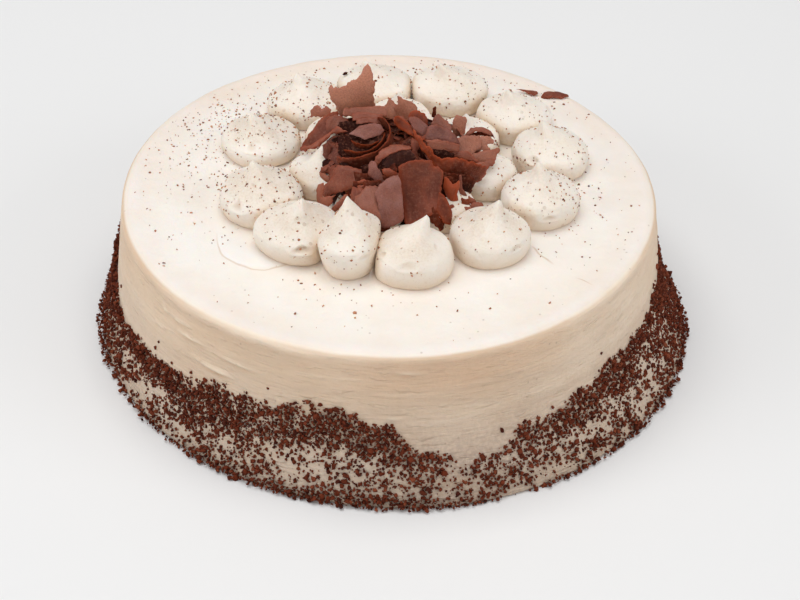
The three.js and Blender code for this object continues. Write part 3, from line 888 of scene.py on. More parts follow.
cake_crumb = crumb_material()
crumb_kinds = [
    ("crumbs_coarse", 101, dict(
        per_square_metre=900000.0, spacing=1.55 * MM, gathering=0.5, smallest=1.0 * MM, largest=2.2 * MM,
        size_bias=1.5, flatness=0.85, cragginess=1.5, segments=6, rings=4)),
    ("crumbs_middle", 151, dict(
        per_square_metre=1300000.0, spacing=0.95 * MM, gathering=2.0, smallest=0.85 * MM, largest=1.6 * MM,
        size_bias=1.5, flatness=0.85, cragginess=1.5, segments=5, rings=4)),
    ("crumbs_fine", 211, dict(
        per_square_metre=800000.0, spacing=0.5 * MM, gathering=1.6, smallest=0.55 * MM, largest=1.0 * MM,
        size_bias=1.2, flatness=0.85, cragginess=1.2, segments=5, rings=3)),
    ("crumb_dust", 307, dict(
        per_square_metre=700000.0, spacing=0.3 * MM, gathering=2.4, smallest=0.3 * MM, largest=0.6 * MM,
        size_bias=1.0, flatness=0.9, cragginess=1.0, segments=4, rings=3)),
]
crumb_carrier = crumb_sheet()
for name, seed, sizes in crumb_kinds:
    stand(name, scatter_over(crumb_carrier, name, seed, cake_crumb, **sizes), "chocolate")
bpy.data.meshes.remove(crumb_carrier)

# ---- Piped kisses ----
# Whipped cream piped from a large round nozzle: a fat base, and a tip left where the nozzle was
# pulled away. Neighbours press flat against each other. Each is a stack of rings round its tip.
kiss_steps = {"outer": (160, 76), "inner": (110, 50)}
# Outlines of a kiss from the rim of its base to its tip, as shares of its radius and its height:
# a dome with a small drawn tip, and a kiss that was pulled up into a cone
domed_outline = np.array([
    (0.9, -0.012), (0.965, 0.03), (0.99, 0.09), (1, 0.17), (0.99, 0.26), (0.95, 0.345), (0.875, 0.425),
    (0.765, 0.49), (0.62, 0.55), (0.46, 0.615), (0.32, 0.69), (0.21, 0.78), (0.13, 0.87), (0.065, 0.95),
    (0.004, 1),
])
drawn_outline = np.array([
    (0.72, -0.012), (0.8, 0.04), (0.86, 0.12), (0.91, 0.22), (0.965, 0.33), (1, 0.43), (0.965, 0.5),
    (0.8, 0.55), (0.61, 0.62), (0.45, 0.7), (0.32, 0.775), (0.21, 0.85), (0.115, 0.92), (0.04, 0.975),
    (0.004, 1),
])
# Where a bubble burst or the bag touched a kiss: kiss, degrees round it, level, half sizes, depth
dimples = [
    (12, -83, 0.4, 2.8, 1.1, 1.3), (11, -122, 0.43, 2.0, 1.2, 0.9), (2, -95, 0.43, 3.0, 1.0, 0.6),
    (2, -148, 0.46, 1.5, 0.6, 0.9), (2, -34, 0.56, 1.4, 0.6, 0.6), (2, -150, 0.62, 0.8, 0.5, 0.6),
    (1, -60, 0.42, 2.2, 0.8, 0.45), (4, -80, 0.3, 2.0, 0.8, 0.6), (10, -100, 0.5, 1.8, 0.8, 0.7),
    (3, -50, 0.36, 2.4, 0.8, 0.5), (5, -120, 0.45, 2.6, 0.9, 0.8), (6, 10, 0.4, 2.2, 0.9, 0.6),
    (8, 100, 0.4, 2.4, 1.0, 0.6),
]
lean_start = 0.3
press_gap = -0.5
press_softness = 0.7


def press_planes(kiss):
    """The upright planes against which the kisses beside it press a kiss flat."""
    planes = []
    own = (kiss["along"] + kiss["across"]) / 2
    for other in kisses:
        apart = math.hypot(other["x"] - kiss["x"], other["y"] - kiss["y"])
        theirs = (other["along"] + other["across"]) / 2
        if other is not kiss and apart < own + theirs + 2:
            distance = (apart + (own * own - theirs * theirs) / apart) / 2 - press_gap / 2
            planes.append(((other["x"] - kiss["x"]) / apart, (other["y"] - kiss["y"]) / apart, distance))
    return planes


def dimple_depth(number, angle, level, kiss):
    """How far the surface of an outer kiss sinks at a place: a hollow inside a slight rim."""
    depth = 0 * (angle + level)
    for owner, middle, middle_level, half_width, half_height, deep in dimples:
        if owner == number:
            turn = (angle + kiss["radians"] - math.radians(middle) + math.pi) % (2 * math.pi) - math.pi
            across = turn * kiss["across"] / half_width
            up = (level - middle_level) * kiss["height"] / half_height + 0.25 * across**2
            away = np.hypot(across, up)
            depth = depth + deep * (bell(away, 0, 1) - 0.6 * bell(away, 1.7, 0.5))
    return depth


def kiss_outline(drawn, rows):
    """A kiss's outline in smooth steps: the radius and the level of each ring."""
    knots = domed_outline + drawn * (drawn_outline - domed_outline)
    steps = np.linspace(0, len(knots) - 1, rows)
    outline = np.stack([np.interp(steps, range(len(knots)), knots[:, k]) for k in (0, 1)], -1)
    for _ in range(3):
        outline[1:-1] = (outline[:-2] + 2 * outline[1:-1] + outline[2:]) / 4
    return outline[:, 0:1], outline[:, 1:2]


def between(level, start, full, fading, end):
    """A share that comes in from a start to full, and goes again from fading to an end."""
    return smooth_step(level, start, full) * (1 - smooth_step(level, fading, end))


def kiss_swell(kiss, seed, place, angle, level):
    """How far a kiss's surface stands out from its outline: soft lumps, the folds and the crease that
    twist round its tip, and the flank that the pull of the nozzle thinned."""
    swell = 1 + 0.045 * lattice_noise(place, 0.9, 51) + 0.018 * lattice_noise(place, 0.3, 53, 2)
    fold = np.sin(3 * angle + 9 * level + seed) * between(level, 0.62, 0.9, 0.97, 1)
    crease = np.sin(2 * angle - 11 * level + 2 * seed) * between(level, 0.42, 0.6, 0.75, 0.95)
    swell = swell * (1 + 0.07 * fold + 0.05 * crease)
    flank = np.cos(angle + kiss["radians"] - math.atan2(kiss["lean"][1], kiss["lean"][0]))
    pull = min(1, math.hypot(*kiss["lean"]) / 4)
    return swell * (1 - 0.25 * pull * flank * between(level, 0.5, 0.75, 0.85, 1))


def pressed_flat(kiss, x, y):
    """A kiss's points after its neighbours have pressed it, and how near each is to where they touch."""
    touch = np.zeros_like(x)
    for plane_x, plane_y, distance in press_planes(kiss):
        out = x * plane_x + y * plane_y
        touch = np.maximum(touch, smooth_step(out, distance - 4, distance - 0.5))
        pressed = distance - press_softness * np.logaddexp(0, (distance - out) / press_softness)
        share = np.where(out > 0.4 * distance, pressed / np.maximum(out, 1e-6), 1)
        share = 1 + (share - 1) * smooth_step(out, 0.4 * distance, 0.7 * distance)
        x, y = x * share, y * share
    return x, y, touch


def kiss_mesh(kiss, seed):
    """One kiss: its outline turned, pulled towards its tip, pressed, wrinkled and dimpled."""
    around, rows = kiss_steps["outer" if seed < len(outer_kisses) else "inner"]
    radius, level = kiss_outline(kiss["drawn"], rows)
    angle = np.arange(around)[None] * 2 * math.pi / around
    place = np.stack(np.broadcast_arrays(np.cos(angle), np.sin(angle), level * 1.3), -1)
    place = place + np.array([seed * 7.3, seed * 3.1, seed * 1.7])
    sunk = dimple_depth(seed + 1, angle, level, kiss)
    swell = kiss_swell(kiss, seed, place, angle, level) - sunk / kiss["across"] / np.maximum(radius, 0.2)
    tip = smooth_step(level, lean_start, 1)
    cos, sin = math.cos(kiss["radians"]), math.sin(kiss["radians"])
    radial = radius * np.cos(angle) * kiss["along"] * swell
    side = radius * np.sin(angle) * kiss["across"] * swell
    x = radial * cos - side * sin + kiss["lean"][0] * tip
    y = radial * sin + side * cos + kiss["lean"][1] * tip
    x, y, touch = pressed_flat(kiss, x, y)
    z = cake_height + level * kiss["height"] + 0 * angle
    z += 0.25 * lattice_noise(place, 0.5, 57) * smooth_step(level, 0.2, 0.6)
    points = np.stack([kiss["x"] + x + axis_x, kiss["y"] + y + axis_y, z], -1)
    mesh = ring_stack(kiss["name"] + "_cream", points)
    # Painted warm shade: low down on the kiss, and where it presses against a neighbour
    low_down = (1 - smooth_step(level + 0 * angle, 0, 0.4)) ** 1.3
    warm_shade = np.maximum(low_down, touch * (1 - smooth_step(level, 0.4, 0.65)))
    powder = between(level, 0.38, 0.58, 0.85, 1) + 0 * x
    powder *= 1 - 0.75 * smooth_step(kiss["x"] + kiss["y"], 10, 70)
    ring_values(mesh, "warm_shade", warm_shade, ends=(1, 0))
    ring_values(mesh, "powder", powder)
    ring_values(mesh, "hollow", np.clip(sunk + 0 * x, 0, 1))
    return mesh


def piped_material():
    """Piped whipped cream: the smoothed cream's stuff, a little lighter, with open pits, a dusting
    of cocoa round the tip, and painted warm shade low down, where kisses touch and in the dimples."""
    material, tree, shader, place = new_material("piped_cream")
    keys = {"Place": place, "Pit Size": 0.2}
    surface = node(tree, "ShaderNodeGroup", keys, node_tree=whipped_cream).outputs
    mottle = remap(tree, surface["Mottle"], 0.3, 0.7, 0, 1)
    body = mix_colour(tree, mottle, (247, 239, 229), (242, 231, 217))
    # Painted shade: warmer low down and where kisses touch, and darker in the dimples
    body = tinted(tree, body, painted(tree, "warm_shade"), 0.62, (226, 201, 172))
    body = tinted(tree, body, painted(tree, "hollow"), 0.6, (204, 178, 148))
    dusting = noise(tree, place, 1300, 2)
    body = tinted(tree, body, remap(tree, dusting, 0.58, 0.72, 0, 0.3), mottle, (196, 166, 138))
    drift = remap(tree, noise(tree, place, 90, 2), 0.4, 0.6, 0.1, 0.55)
    cocoa = times(tree, painted(tree, "powder"), drift)
    body = tinted(tree, body, cocoa, remap(tree, dusting, 0.35, 0.6, 0.5, 1), (220, 202, 181))
    # Painted shade darkens the air pits
    body = tinted(tree, body, surface["Pits"], 0.35, (176, 146, 118))
    roughness = remap(tree, surface["Mottle"], 0.3, 0.7, 0.44, 0.58)
    finish_surface(tree, shader, body, roughness, surface["Height"], 0.75, 0.9 * MM)
    shader.inputs["Specular IOR Level"].default_value = 0.35
    let_light_in(shader, *cream_light)
    return material


piped_cream = piped_material()
for seed, kiss in enumerate(kisses):
    mesh = kiss_mesh(kiss, seed)
    mesh.materials.append(piped_cream)
    stand(kiss["name"] + "_cream", mesh, "piped_cream", kiss["name"])

# ---- Chocolate shavings ----
# Shavings pulled off a block of milk chocolate with a blade: thin curled leaves with torn edges,
# dulled by a grey bloom and a painted sheen, heaped over the inner kisses. Each leaf is a thin closed
# shell; small chips on a low mound fill the heap between the large leaves.
shaving_half_thickness = 0.3
shaving_edge_half_thickness = 0.09
large_leaf_spacing = 0.55
# Each leaf: name, middle (about the cake's axis and over its top), the way it faces (degrees round
# from the front, and up) with its turn, curl (radius and the way it bends), raggedness, looks (tone,
# which is also painted shade on leaves that lie in shade; bloom with painted sheen; and how far
# painted light shines through its edge), and its outline (across, up), all in its plane
large_shavings = [
    ("horn", (-13.5, 22.5, 32), (-5, 20, 0), (28, 25), 0.4, (1.1, 0.1, 0.15),
     [(4.8, 10.5), (6.3, 7), (7, 3), (7, -3), (8.5, -7), (11, -9.5), (5, -9.2), (-1.5, -9), (-4.5, -13),
      (-8, -13), (-8.5, -7.5), (-11.5, -2), (-10.5, 0.2), (-7.5, -0.6), (-3.5, 1.6), (0, 4), (2, 6.6),
      (3.8, 9)]),
    ("horn_foot", (-10, 17, 24.5), (0, 46, 0), (-30, 0), 0.2, (0.62, 0.1, 0.2),
     [(-8, 1.5), (0, 2.6), (8, 2.6), (9.5, -1.5), (4, -2.4), (-3, -1.8), (-8.5, -1.5)]),
    ("slit_lip", (-8.5, 14, 25), (0, 48, 2), (-20, 90), 0.2, (0.5, 0.2, 0.5),
     [(-6.5, 1), (-1, 1.5), (5.5, 1), (6, -2), (4, -2.5), (-1, -1), (-6, -2)]),
    ("left_tuft", (-27.5, 30.5, 16), (-15, 32, -8), (16, 0), 0.5, (0.75, 0.1, 0.3),
     [(-4, 0.5), (-2, 3), (-0.5, 3), (0.5, 1.5), (1.5, 2.5), (3.5, 1.5), (4.5, -1.5), (3.5, -3.5),
      (0.5, -2), (-1.5, -1.5), (-4, -2.5), (-6, -2.5), (-5.5, -1.5)]),
    ("left_long", (-28, 16, 17.5), (-20, 44, -12), (18, 40), 0.3, (0.32, 0, 0.6),
     [(7, 8), (8.6, 3), (5.6, -3), (2, -6.5), (-2, -8.2), (-7.5, -7.5), (-6.5, -5), (-4.5, -2.5),
      (-2, -0.5), (-0.5, 2.5), (2, 5), (5, 7.5)]),
    ("left_rail", (-24.5, 8.5, 17.5), (-20, 50, -12), (-14, 50), 0.3, (0.55, 0.1, 0.7),
     [(4, 5.5), (9, 2.5), (2, 2), (-1, -0.5), (-4, -4), (-6.5, -5.5), (-9, -5), (-6, -2.5), (-2, 0.5),
      (0.5, 2)]),
    ("left_fill", (-20, 15, 19.5), (-14, 46, -10), (12, 60), 0.3, (0.5, 0.1, 0.3),
     [(-5, 3), (-1, 5), (4, 3), (4, -2), (0, -3.5), (-5, -1.5)]),
    # Dark leaves inside the nest: painted shade
    ("nest_dark", (-14, 12, 20), (0, 40, 0), (-14, 0), 0.2, (-0.2, 0, 0),
     [(-6, 3), (5, 4), (7, -1), (5, -5), (-4, -5), (-7, -1)]),
    ("nest_floor", (-11, -2, 21), (0, 60, 0), (-16, 0), 0.2, (-0.2, 0, 0),
     [(-9, 4), (0, 7), (9, 4), (9, -4), (0, -7), (-9, -4)]),
    ("left_bit_1", (-33.5, 10, 12), (-20, 40, 0), (8, 0), 0.4, (0.5, 0, 0.4),
     [(-2, 0), (0.5, 1.5), (2.2, 0), (1, -1.3), (-1, -1.2)]),
    ("left_bit_2", (-31, 6.5, 10), (-20, 40, 0), (8, 0), 0.4, (0.6, 0, 0.4),
     [(-2.2, -1), (0.5, 2), (2.5, 1.8), (0.5, -1.4), (-1.5, -2)]),
    ("left_blade", (-24, 1, 14.5), (-20, 8, 0), (7, 0), 0.2, (0.3, 0.5, 0.2),
     [(0, 6.5), (2, 4.5), (1.2, 1), (0.5, -4), (0, -6), (-1.5, -4.5), (-2, 0), (-1.2, 4)]),
    ("left_toe", (-24.5, -4, 11), (-15, 30, 0), (10, 0), 0.4, (0.45, 0, 0.3),
     [(-2, 1.5), (2.2, 2), (2.7, -1), (-2.7, -1.5)]),
    ("nest_plate", (-8.5, 1.5, 26), (4, 50, 0), (-22, 60), 0.15, (0.4, 0.95, 0.1),
     [(-7.3, -0.8), (-2.7, 2.5), (1, 3), (5, 2.7), (6.6, 0.3), (5, -1.5), (-1, -3.6), (-2.7, -2.5),
      (-4.8, -1.6)]),
    ("nest_strip", (-8, 12, 24), (0, 60, 2), (-18, 90), 0.2, (0.45, 0.3, 0.3),
     [(-5, 1), (0, 1.5), (5.5, 1.5), (6, -1), (0, -1), (-5, -1.5)]),
    ("nest_cup", (-6.5, -9, 19.5), (22, -6, -16), (12.5, 0), 0.25, (0.25, 0.05, 0.75),
     [(-15, -4), (0, -4.4), (14, -4), (27, -3), (27, 1.5), (22, 3.5), (8, 3.2), (-6, 3.8), (-15, 2.5)]),
    ("nest_ring_1", (-8, -6, 20), (18, -8, -10), (9.6, 0), 0.3, (0.12, 0.05, 1),
     [(-12, -3.4), (13, -3.4), (14, 1), (10, 3.4), (0, 2.4), (-8, 3.2), (-12, 1)]),
    ("nest_ring_2", (-9, -3, 20.5), (0, -10, 3), (6.8, 0), 0.25, (0.08, 0, 0.8),
     [(-9, -3.2), (9, -3.2), (10, 0), (6, 3), (-4, 2.4), (-9, 1)]),
    ("arch", (0.5, -12, 25.5), (-6, 64, -4), (11, 60), 0.2, (0.5, 0.1, 0.5),
     [(-6.5, -4), (-4, 0), (-0.5, 3), (4, 5), (7.5, 4.5), (8, 1.5), (4, 1), (0, -1), (-3, -3.2),
      (-5, -5.5), (-7.5, -5.5)]),
    # A dark leaf behind the arch: painted shade
    ("arch_back", (3, -11.5, 21.5), (8, 10, 0), (-14, 0), 0.2, (0.02, 0.35, 0),
     [(-6.5, -1.5), (-3, 2.5), (1, 3.5), (5.5, 4.5), (7.5, 1.5), (5, -3), (-1, -4.5), (-5.5, -3)]),
    ("middle_slab", (8.5, 5.5, 24.5), (14, 40, 6), (-12, 140), 0.15, (0.3, 0.1, 1.3),
     [(-8, 5.5), (-5.5, 5.5), (-2, 3), (2, 0.5), (7, -2.5), (8, -5.5), (4, -4.5), (-1.5, -1.8),
      (-5.5, 0.5), (-8, 3)]),
    ("crest_1", (-0.5, 23, 23), (4, 34, 0), (12, 0), 0.35, (0.9, 0.1, 0.3),
     [(-4.5, 0.5), (-1.2, 1), (0.3, 4), (3, 1.5), (4, -2.5), (0.5, -4.5), (-4, -3)]),
    ("crest_2", (6.5, 23, 23.5), (8, 30, 0), (15, 30), 0.35, (0.85, 0.1, 0.3),
     [(-3.5, 4.6), (0.5, 3), (4, 0), (5.5, -2.7), (1, -5), (-5, -5), (-6, -0.5), (-3.5, 1.2)]),
    ("crest_3", (11.5, 15, 23), (12, 26, 0), (10, 0), 0.3, (0.36, 0.1, 1.3),
     [(-3.2, 3.5), (0.5, 3.8), (3.2, 0.5), (4, -2.5), (0.5, -4), (-2.5, -2), (-4, 1.5)]),
    ("plate_1", (11.5, 6, 26), (14, 44, 4), (20, 40), 0.15, (0.35, 0.75, 0.2),
     [(-4.2, 3.5), (-1.5, 4), (3.5, 0.3), (4.5, -3.5), (1, -4), (-2.5, -1.5)]),
    ("crest_4", (4.5, 10, 25), (5, 40, 0), (12, 90), 0.2, (0.4, 0.4, 0.5),
     [(-3.5, 2.2), (0.5, 2.4), (2.9, 0), (2.9, -2.2), (0, -3), (-2.8, -1)]),
    ("right_slab", (20.5, 3, 24.5), (12, 52, 3), (22, 90), 0.15, (0.12, 0.75, 0.3),
     [(-5, 3.8), (-1.5, 4.3), (2.5, 2), (5.5, -1), (7, -4.5), (2.2, -4), (-2.7, -3), (-7, -1.5)]),
    ("right_ledge", (20.5, -2, 22.5), (10, 34, 2), (14, 80), 0.25, (0.6, 0.15, 0.4),
     [(-6.5, 2.5), (-1.6, 2), (4, 1), (7, -0.3), (6, -3), (0, -3), (-5, -2)]),
    ("rear_leaf", (20, 15, 22), (14, 36, 0), (15, 30), 0.3, (0.6, 0.6, 0.2),
     [(-3.2, 1.6), (-0.8, 3.4), (1.5, 1.2), (4, -1.6), (3.5, -4), (-0.8, -3), (-4, -2)]),
    ("rear_spike", (17.5, 23.5, 21), (10, 5, 0), (6, 0), 0.2, (0.1, 0, 0.3),
     [(-1.2, -2), (-0.6, 1.6), (0.5, 2.5), (0.8, -0.5), (0.8, -2.5)]),
    ("rear_tab", (27, 16, 20.5), (12, 24, 0), (12, 0), 0.35, (0.9, 0.2, 0.2),
     [(-3.5, -1), (-2, 2.4), (-0.5, 3.8), (0.8, 2.9), (3, 3), (3, 0), (2, -4), (-1, -5)]),
    ("far_strip", (35, 15, 18), (8, 62, 3), (9, 20), 0.15, (0.55, 0.15, 0.3),
     [(-6.5, -1), (-3.2, 1.8), (1.6, 2), (5, 0.8), (7, -1.8), (4, -0.9), (-1, 0), (-3.2, -0.9),
      (-6.8, -2.4)]),
    # A dark strip under the far strip: painted shade
    ("far_strip_under", (34.5, 15.5, 16.5), (8, 20, 3), (-14, 0), 0.15, (0.1, 0, 0.1),
     [(-6.5, -1.5), (-4, 0.5), (1, 1), (6, 0), (6.5, -0.8), (2, -0.6), (-2, -1), (-5, -3)]),
    ("right_wing_1", (30.5, 4, 19), (14, 44, 2), (20, 50), 0.35, (0.8, 0.3, 0.1),
     [(-6, 2.5), (-0.3, 3.8), (5, 3.2), (5.5, -1), (0.3, -4.5), (-5, -4.2)]),
    ("right_wing_2", (36.5, 7, 17.5), (14, 42, 0), (15, 0), 0.45, (0.85, 0.3, 0.1),
     [(-5, 3.5), (3.8, 3), (4, 0), (1, -0.6), (2.4, -3), (-5, -4)]),
    ("right_tip_1", (38.5, 1, 15), (14, 38, 0), (16, 60), 0.35, (0.75, 0.1, 0.3),
     [(-7, 2.6), (-2, 3.2), (5.4, 3.4), (3.2, -0.3), (-0.8, -3), (-6.5, -1.8)]),
    ("right_tip_2", (37, -2, 14), (14, 44, 0), (10, 90), 0.35, (0.6, 0.1, 0.4),
     [(-6, 1), (0.5, 0.8), (5, 2), (3.2, -0.6), (0.5, -1.8), (-5, -1)]),
    ("right_shelf", (29.5, -1, 17), (12, 40, 4), (9, 70), 0.3, (0.5, 0.1, 0.5),
     [(-6, 2.2), (0.5, 1.8), (3.2, 0), (5, -2.5), (0, -1.6), (-5, -0.8)]),
    ("right_under", (34, 0, 12.5), (16, 40, 0), (30, 0), 0.4, (0.2, 0.1, 0.2),
     [(-9, 4), (-2, 5), (5, 4.5), (7.5, 1), (4, -3), (-3, -3), (-9, -2)]),
    ("long_blade", (24, -12.5, 20), (10, 8, 4), (34, 30), 0.4, (0.26, 0, 1.2),
     [(-16, 11), (-12, 8.5), (-8, 5.5), (-5.5, 2.8), (-1, 3.8), (3, 3.4), (7.5, 1.4), (12, -0.5),
      (16.5, -2.5), (17, -6), (14.2, -10), (12.6, -9), (11, -11), (9.7, -9), (7.5, -10.5), (5.5, -8.8),
      (1.5, -7.5), (-3, -6), (-5.5, -2), (-8.5, 1), (-12, 5), (-15.5, 9)]),
    ("front_panel", (12.5, -27, 17.5), (3, 22, 0), (22, 0), 0.2, (0.36, 0.15, 0.9),
     [(-8, 9.7), (-6, 11.6), (-3, 12.8), (1, 13), (3.6, 12.6), (3.8, 10.6), (5.8, 10), (8.4, 7.4),
      (8, 1.5), (7.6, -3), (6.4, -6.5), (3.4, -8.8), (-0.5, -10), (-3, -11.6), (-5.2, -14), (-6, -9),
      (-7.2, -4), (-8, 3)]),
    ("front_left_panel", (0.5, -33, 17), (-8, 32, -2), (22, 10), 0.15, (0.4, 1, 0.1),
     [(1, 9.8), (2.7, 10.2), (4, 8), (4.5, 5), (5.2, -0.5), (6, -6.5), (2.2, -9), (-1.6, -10.3),
      (-4.3, -9.2), (-6.5, -7.6), (-4, -4.3), (-4.3, -0.5), (-6, 2.7), (-4.3, 6), (-1.6, 8.6)]),
    ("front_left_leaf", (-7, -32.5, 14.5), (-12, 40, -6), (12, 30), 0.25, (0.58, 0.35, 0.25),
     [(-6, 3.6), (-3.4, 5), (-1.5, 8), (3, 8.4), (5, 5.5), (6, 2.5), (6.5, -1), (6, -4.5), (3, -6),
      (-1, -4.2), (-3.6, -1), (-6, 1)]),
    ("front_left_under", (-10.5, -29.5, 12.5), (-12, 20, 0), (14, 0), 0.25, (0.4, 0.1, 0.5),
     [(-4.8, 6.5), (2, 6), (6, 2), (6.5, -3.8), (5, -5.6), (2.2, -6.2), (-1, -2.7), (-4, 2)]),
    ("front_left_heel", (-1.5, -36, 8), (-5, 10, 0), (8, 0), 0.3, (0.1, 0, 0.3),
     [(-4, 1.5), (3, 2), (2, -2), (-1, -2.6)]),
    ("small_leaf", (-4.5, -19, 20.5), (-10, 34, 0), (8, -30), 0.2, (0.32, 0.75, 0.2),
     [(-3, 4.6), (-1.4, 4), (-0.3, 2.7), (2, 0), (4.3, -2.7), (3, -4), (0.3, -4.4), (-0.8, -2.7),
      (-3.2, -1), (-3.6, 2.2)]),
    ("small_curl", (0.5, -20, 21), (0, 24, 0), (4.5, 90), 0.3, (0.45, 0, 1),
     [(-3.2, 1.6), (-0.5, 2), (3.2, 0.2), (2, -2), (-1, -1.4), (-3, 0)]),
    ("small_curl_2", (-1, -20.5, 18.5), (-10, 10, 0), (5, 90), 0.3, (0.15, 0, 0.6),
     [(-4, 2), (3, 2.2), (5, 0), (3, -3), (-3, -3)]),
    # A dark leaf over a gap: painted shade
    ("front_fill", (-6, -23, 16.5), (-5, 25, 0), (20, 0), 0.3, (0.12, 0, 0.3),
     [(-4, 2.5), (3, 3), (4, -2), (-3.5, -2.5)]),
    ("left_panel", (-16.5, -17, 16), (-10, 42, -4), (16, -25), 0.2, (0.46, 0.05, 0.35),
     [(-4.3, 5.2), (-3.2, 6), (0.5, 5.2), (6, 4.4), (9, 2.7), (9.2, 0.3), (7, 0.8), (4.5, 2), (5, -0.8),
      (4, -3.2), (0.5, -4.2), (-3.2, -5.6), (-8.1, -7.2), (-9.5, -5.1), (-8.6, -2.4), (-5.4, 0.3),
      (-5, 3)]),
    ("left_fold", (-24.5, -22.5, 12), (-14, 30, -8), (6, 10), 0.25, (0.6, 0.1, 0.35),
     [(-3, 2.4), (-2, 4.6), (0, 5.1), (0.5, 2.4), (0, -0.3), (5, 0.5), (3.4, -0.8), (3.2, -3),
      (1.6, -4.6), (-1.4, -4.3), (-3.3, -2)]),
    ("left_under", (-12.5, -20, 12.5), (-8, 30, 0), (14, 0), 0.4, (0.15, 0, 0.4),
     [(-5, 1), (-2, 4), (4, 4), (6, 0), (4, -4), (-2, -4)]),
    ("left_fleck_1", (-9.5, -20, 17), (-5, 30, 0), (4, 90), 0.35, (0.5, 0, 1),
     [(-2.5, 0), (0.3, 1.2), (2.6, 0), (0.8, -1), (-1.6, -1)]),
    ("left_fleck_2", (-10.5, -21.5, 15), (5, 35, 20), (4, 0), 0.35, (0.55, 0, 1),
     [(-1.5, 0.5), (1, 1.6), (2.3, -0.5), (0.8, -1.9), (-1, -1.3)]),
    ("left_fleck_3", (-12.5, -23.5, 13.5), (-15, 45, -15), (5, 0), 0.3, (0.75, 0, 0.5),
     [(-2.5, 0.3), (0, 1.2), (2, 0.6), (1, -0.8), (-2, -1)]),
    ("loop_low", (-26.5, -26, 8.5), (-12, 34, -6), (9, 0), 0.15, (0.65, 0.05, 0.4),
     [(-5.1, 3), (-2.7, 2.4), (1.6, 0), (5, -0.5), (5.1, -2.4), (1.4, -2.9), (-2, -1)]),
    ("loop_high", (-19, -24.5, 9.5), (-8, 32, 0), (12, 45), 0.15, (0.6, 0.1, 0.4),
     [(-3.5, -3.5), (-0.8, 0.5), (2.2, 4), (3.6, 4.3), (2.1, 0.2), (-1.2, -3.4), (-3, -4.4)]),
    ("orange_curl", (24, -22, 15), (14, 10, 4), (5.5, 10), 0.2, (0.42, 0, 2.1),
     [(-3.2, 5.6), (-1, 4.5), (0.5, 2.6), (3.6, 3.3), (3.8, 1), (2.5, -0.3), (2.4, -1.6), (3.5, -4.5),
      (2.2, -5.5), (0, -4.5), (-2.2, -1.6), (-3.6, 1.6)]),
    # Dark leaves under the long blade and over gaps in the heap: painted shade
    ("dark_right", (26, -15, 12.5), (14, 4, 0), (20, 0), 0.3, (0.02, 0, 0.2),
     [(-6, 6), (2, 5), (8, 2), (7, -4), (2, -7), (-4, -6)]),
    ("dark_right_2", (21, -20.5, 14.5), (10, 20, 0), (14, 0), 0.3, (0.02, 0, 0.3),
     [(-4.5, 6), (3, 5), (4.5, 0), (3.5, -5), (-2, -8), (-4.5, -2)]),
    ("front_gap", (-6, -19.5, 14.5), (-5, 20, 0), (20, 0), 0.3, (0.05, 0, 0.3),
     [(-9, 5), (6, 5), (6, -4), (-8, -6)]),
    ("nest_gap", (-5, -15.5, 19), (0, 25, 0), (20, 0), 0.3, (-0.1, 0, 0),
     [(-6, 2), (4, 2.6), (5, -1), (3, -2.8), (-5, -2)]),
    ("ledge_gap", (17, -6, 20.5), (12, 22, 0), (20, 0), 0.3, (-0.05, 0, 0),
     [(-6, 3.4), (5, 1.4), (9, -1), (7, -3.5), (0, -2.5), (-6, -1)]),
    ("right_leaf", (21.5, -29, 11.3), (14, 26, 4), (5.5, -15), 0.15, (0.3, 0.1, 1.1),
     [(-1.9, 6.6), (-0.2, 5.4), (1.8, 1.6), (3.2, -1.6), (4, -5.1), (1.9, -6.4), (-0.8, -5), (-3.2, -1),
      (-3.5, 2.7), (-3, 5)]),
    ("right_heel", (18, -31.5, 8), (6, 20, 0), (7, 0), 0.3, (0.15, 0, 0.5),
     [(-3.2, 2.7), (-0.5, 5.5), (1.2, 2.2), (3.2, -1), (3.6, -3.5), (1.9, -4.5), (-0.5, -1.8), (-3, 0)]),
    ("thin_curl", (28.5, -17.5, 12.5), (14, 6, 0), (5, 0), 0.1, (0.5, 0.3, 0.2),
     [(-1.6, 6), (-0.5, 6), (-0.3, 3.8), (-0.4, 0.5), (1.5, -2.2), (2.3, -5.1), (0.3, -6.3),
      (-0.9, -2.7), (-1.9, 0.5), (-1.6, 3.2)]),
    ("right_fleck", (34, -22.5, 7), (16, 40, 0), (5, 0), 0.3, (0.55, 0.1, 0.3),
     [(-3.3, 1), (-0.4, 2.9), (2.8, 2.1), (3.4, -0.6), (1, -3), (-3, -2)]),
    ("right_bit_1", (26, -25, 7.5), (10, 40, 30), (5, 0), 0.4, (0.4, 0, 0.6),
     [(-2, 1.4), (1, 2), (2.2, -0.7), (0, -2.4), (-1.9, -1)]),
    ("right_bit_2", (30, -24.5, 7.5), (-10, 35, -20), (5, 0), 0.4, (0.45, 0, 0.5),
     [(-2.7, 1.9), (2, 1.6), (2.6, -1.2), (-0.6, -2.3), (-2.4, -0.4)]),
    ("right_bit_3", (32, -20, 8.5), (20, 20, 60), (5, 0), 0.3, (0.5, 0, 0.5),
     [(-3, 0.9), (0, 1.4), (3.2, 0.6), (2.3, -0.9), (-2, -1)]),
    ("right_bit_4", (23.5, -25.5, 8.5), (12, 25, 20), (5, 0), 0.4, (0.35, 0, 0.6),
     [(-2.2, 1), (0.6, 2.4), (2, 0.2), (1.2, -2.6), (-1, -1.4)]),
    ("right_bit_5", (27.5, -28, 5.5), (4, 45, -30), (5, 0), 0.4, (0.5, 0.1, 0.4),
     [(-2.4, 0.4), (0, 1.6), (2.6, 0.4), (0.6, -1.2), (-1.6, -1)]),
    ("right_bit_6", (29.5, -22, 9.5), (18, 15, 50), (5, 0), 0.4, (0.3, 0, 0.6),
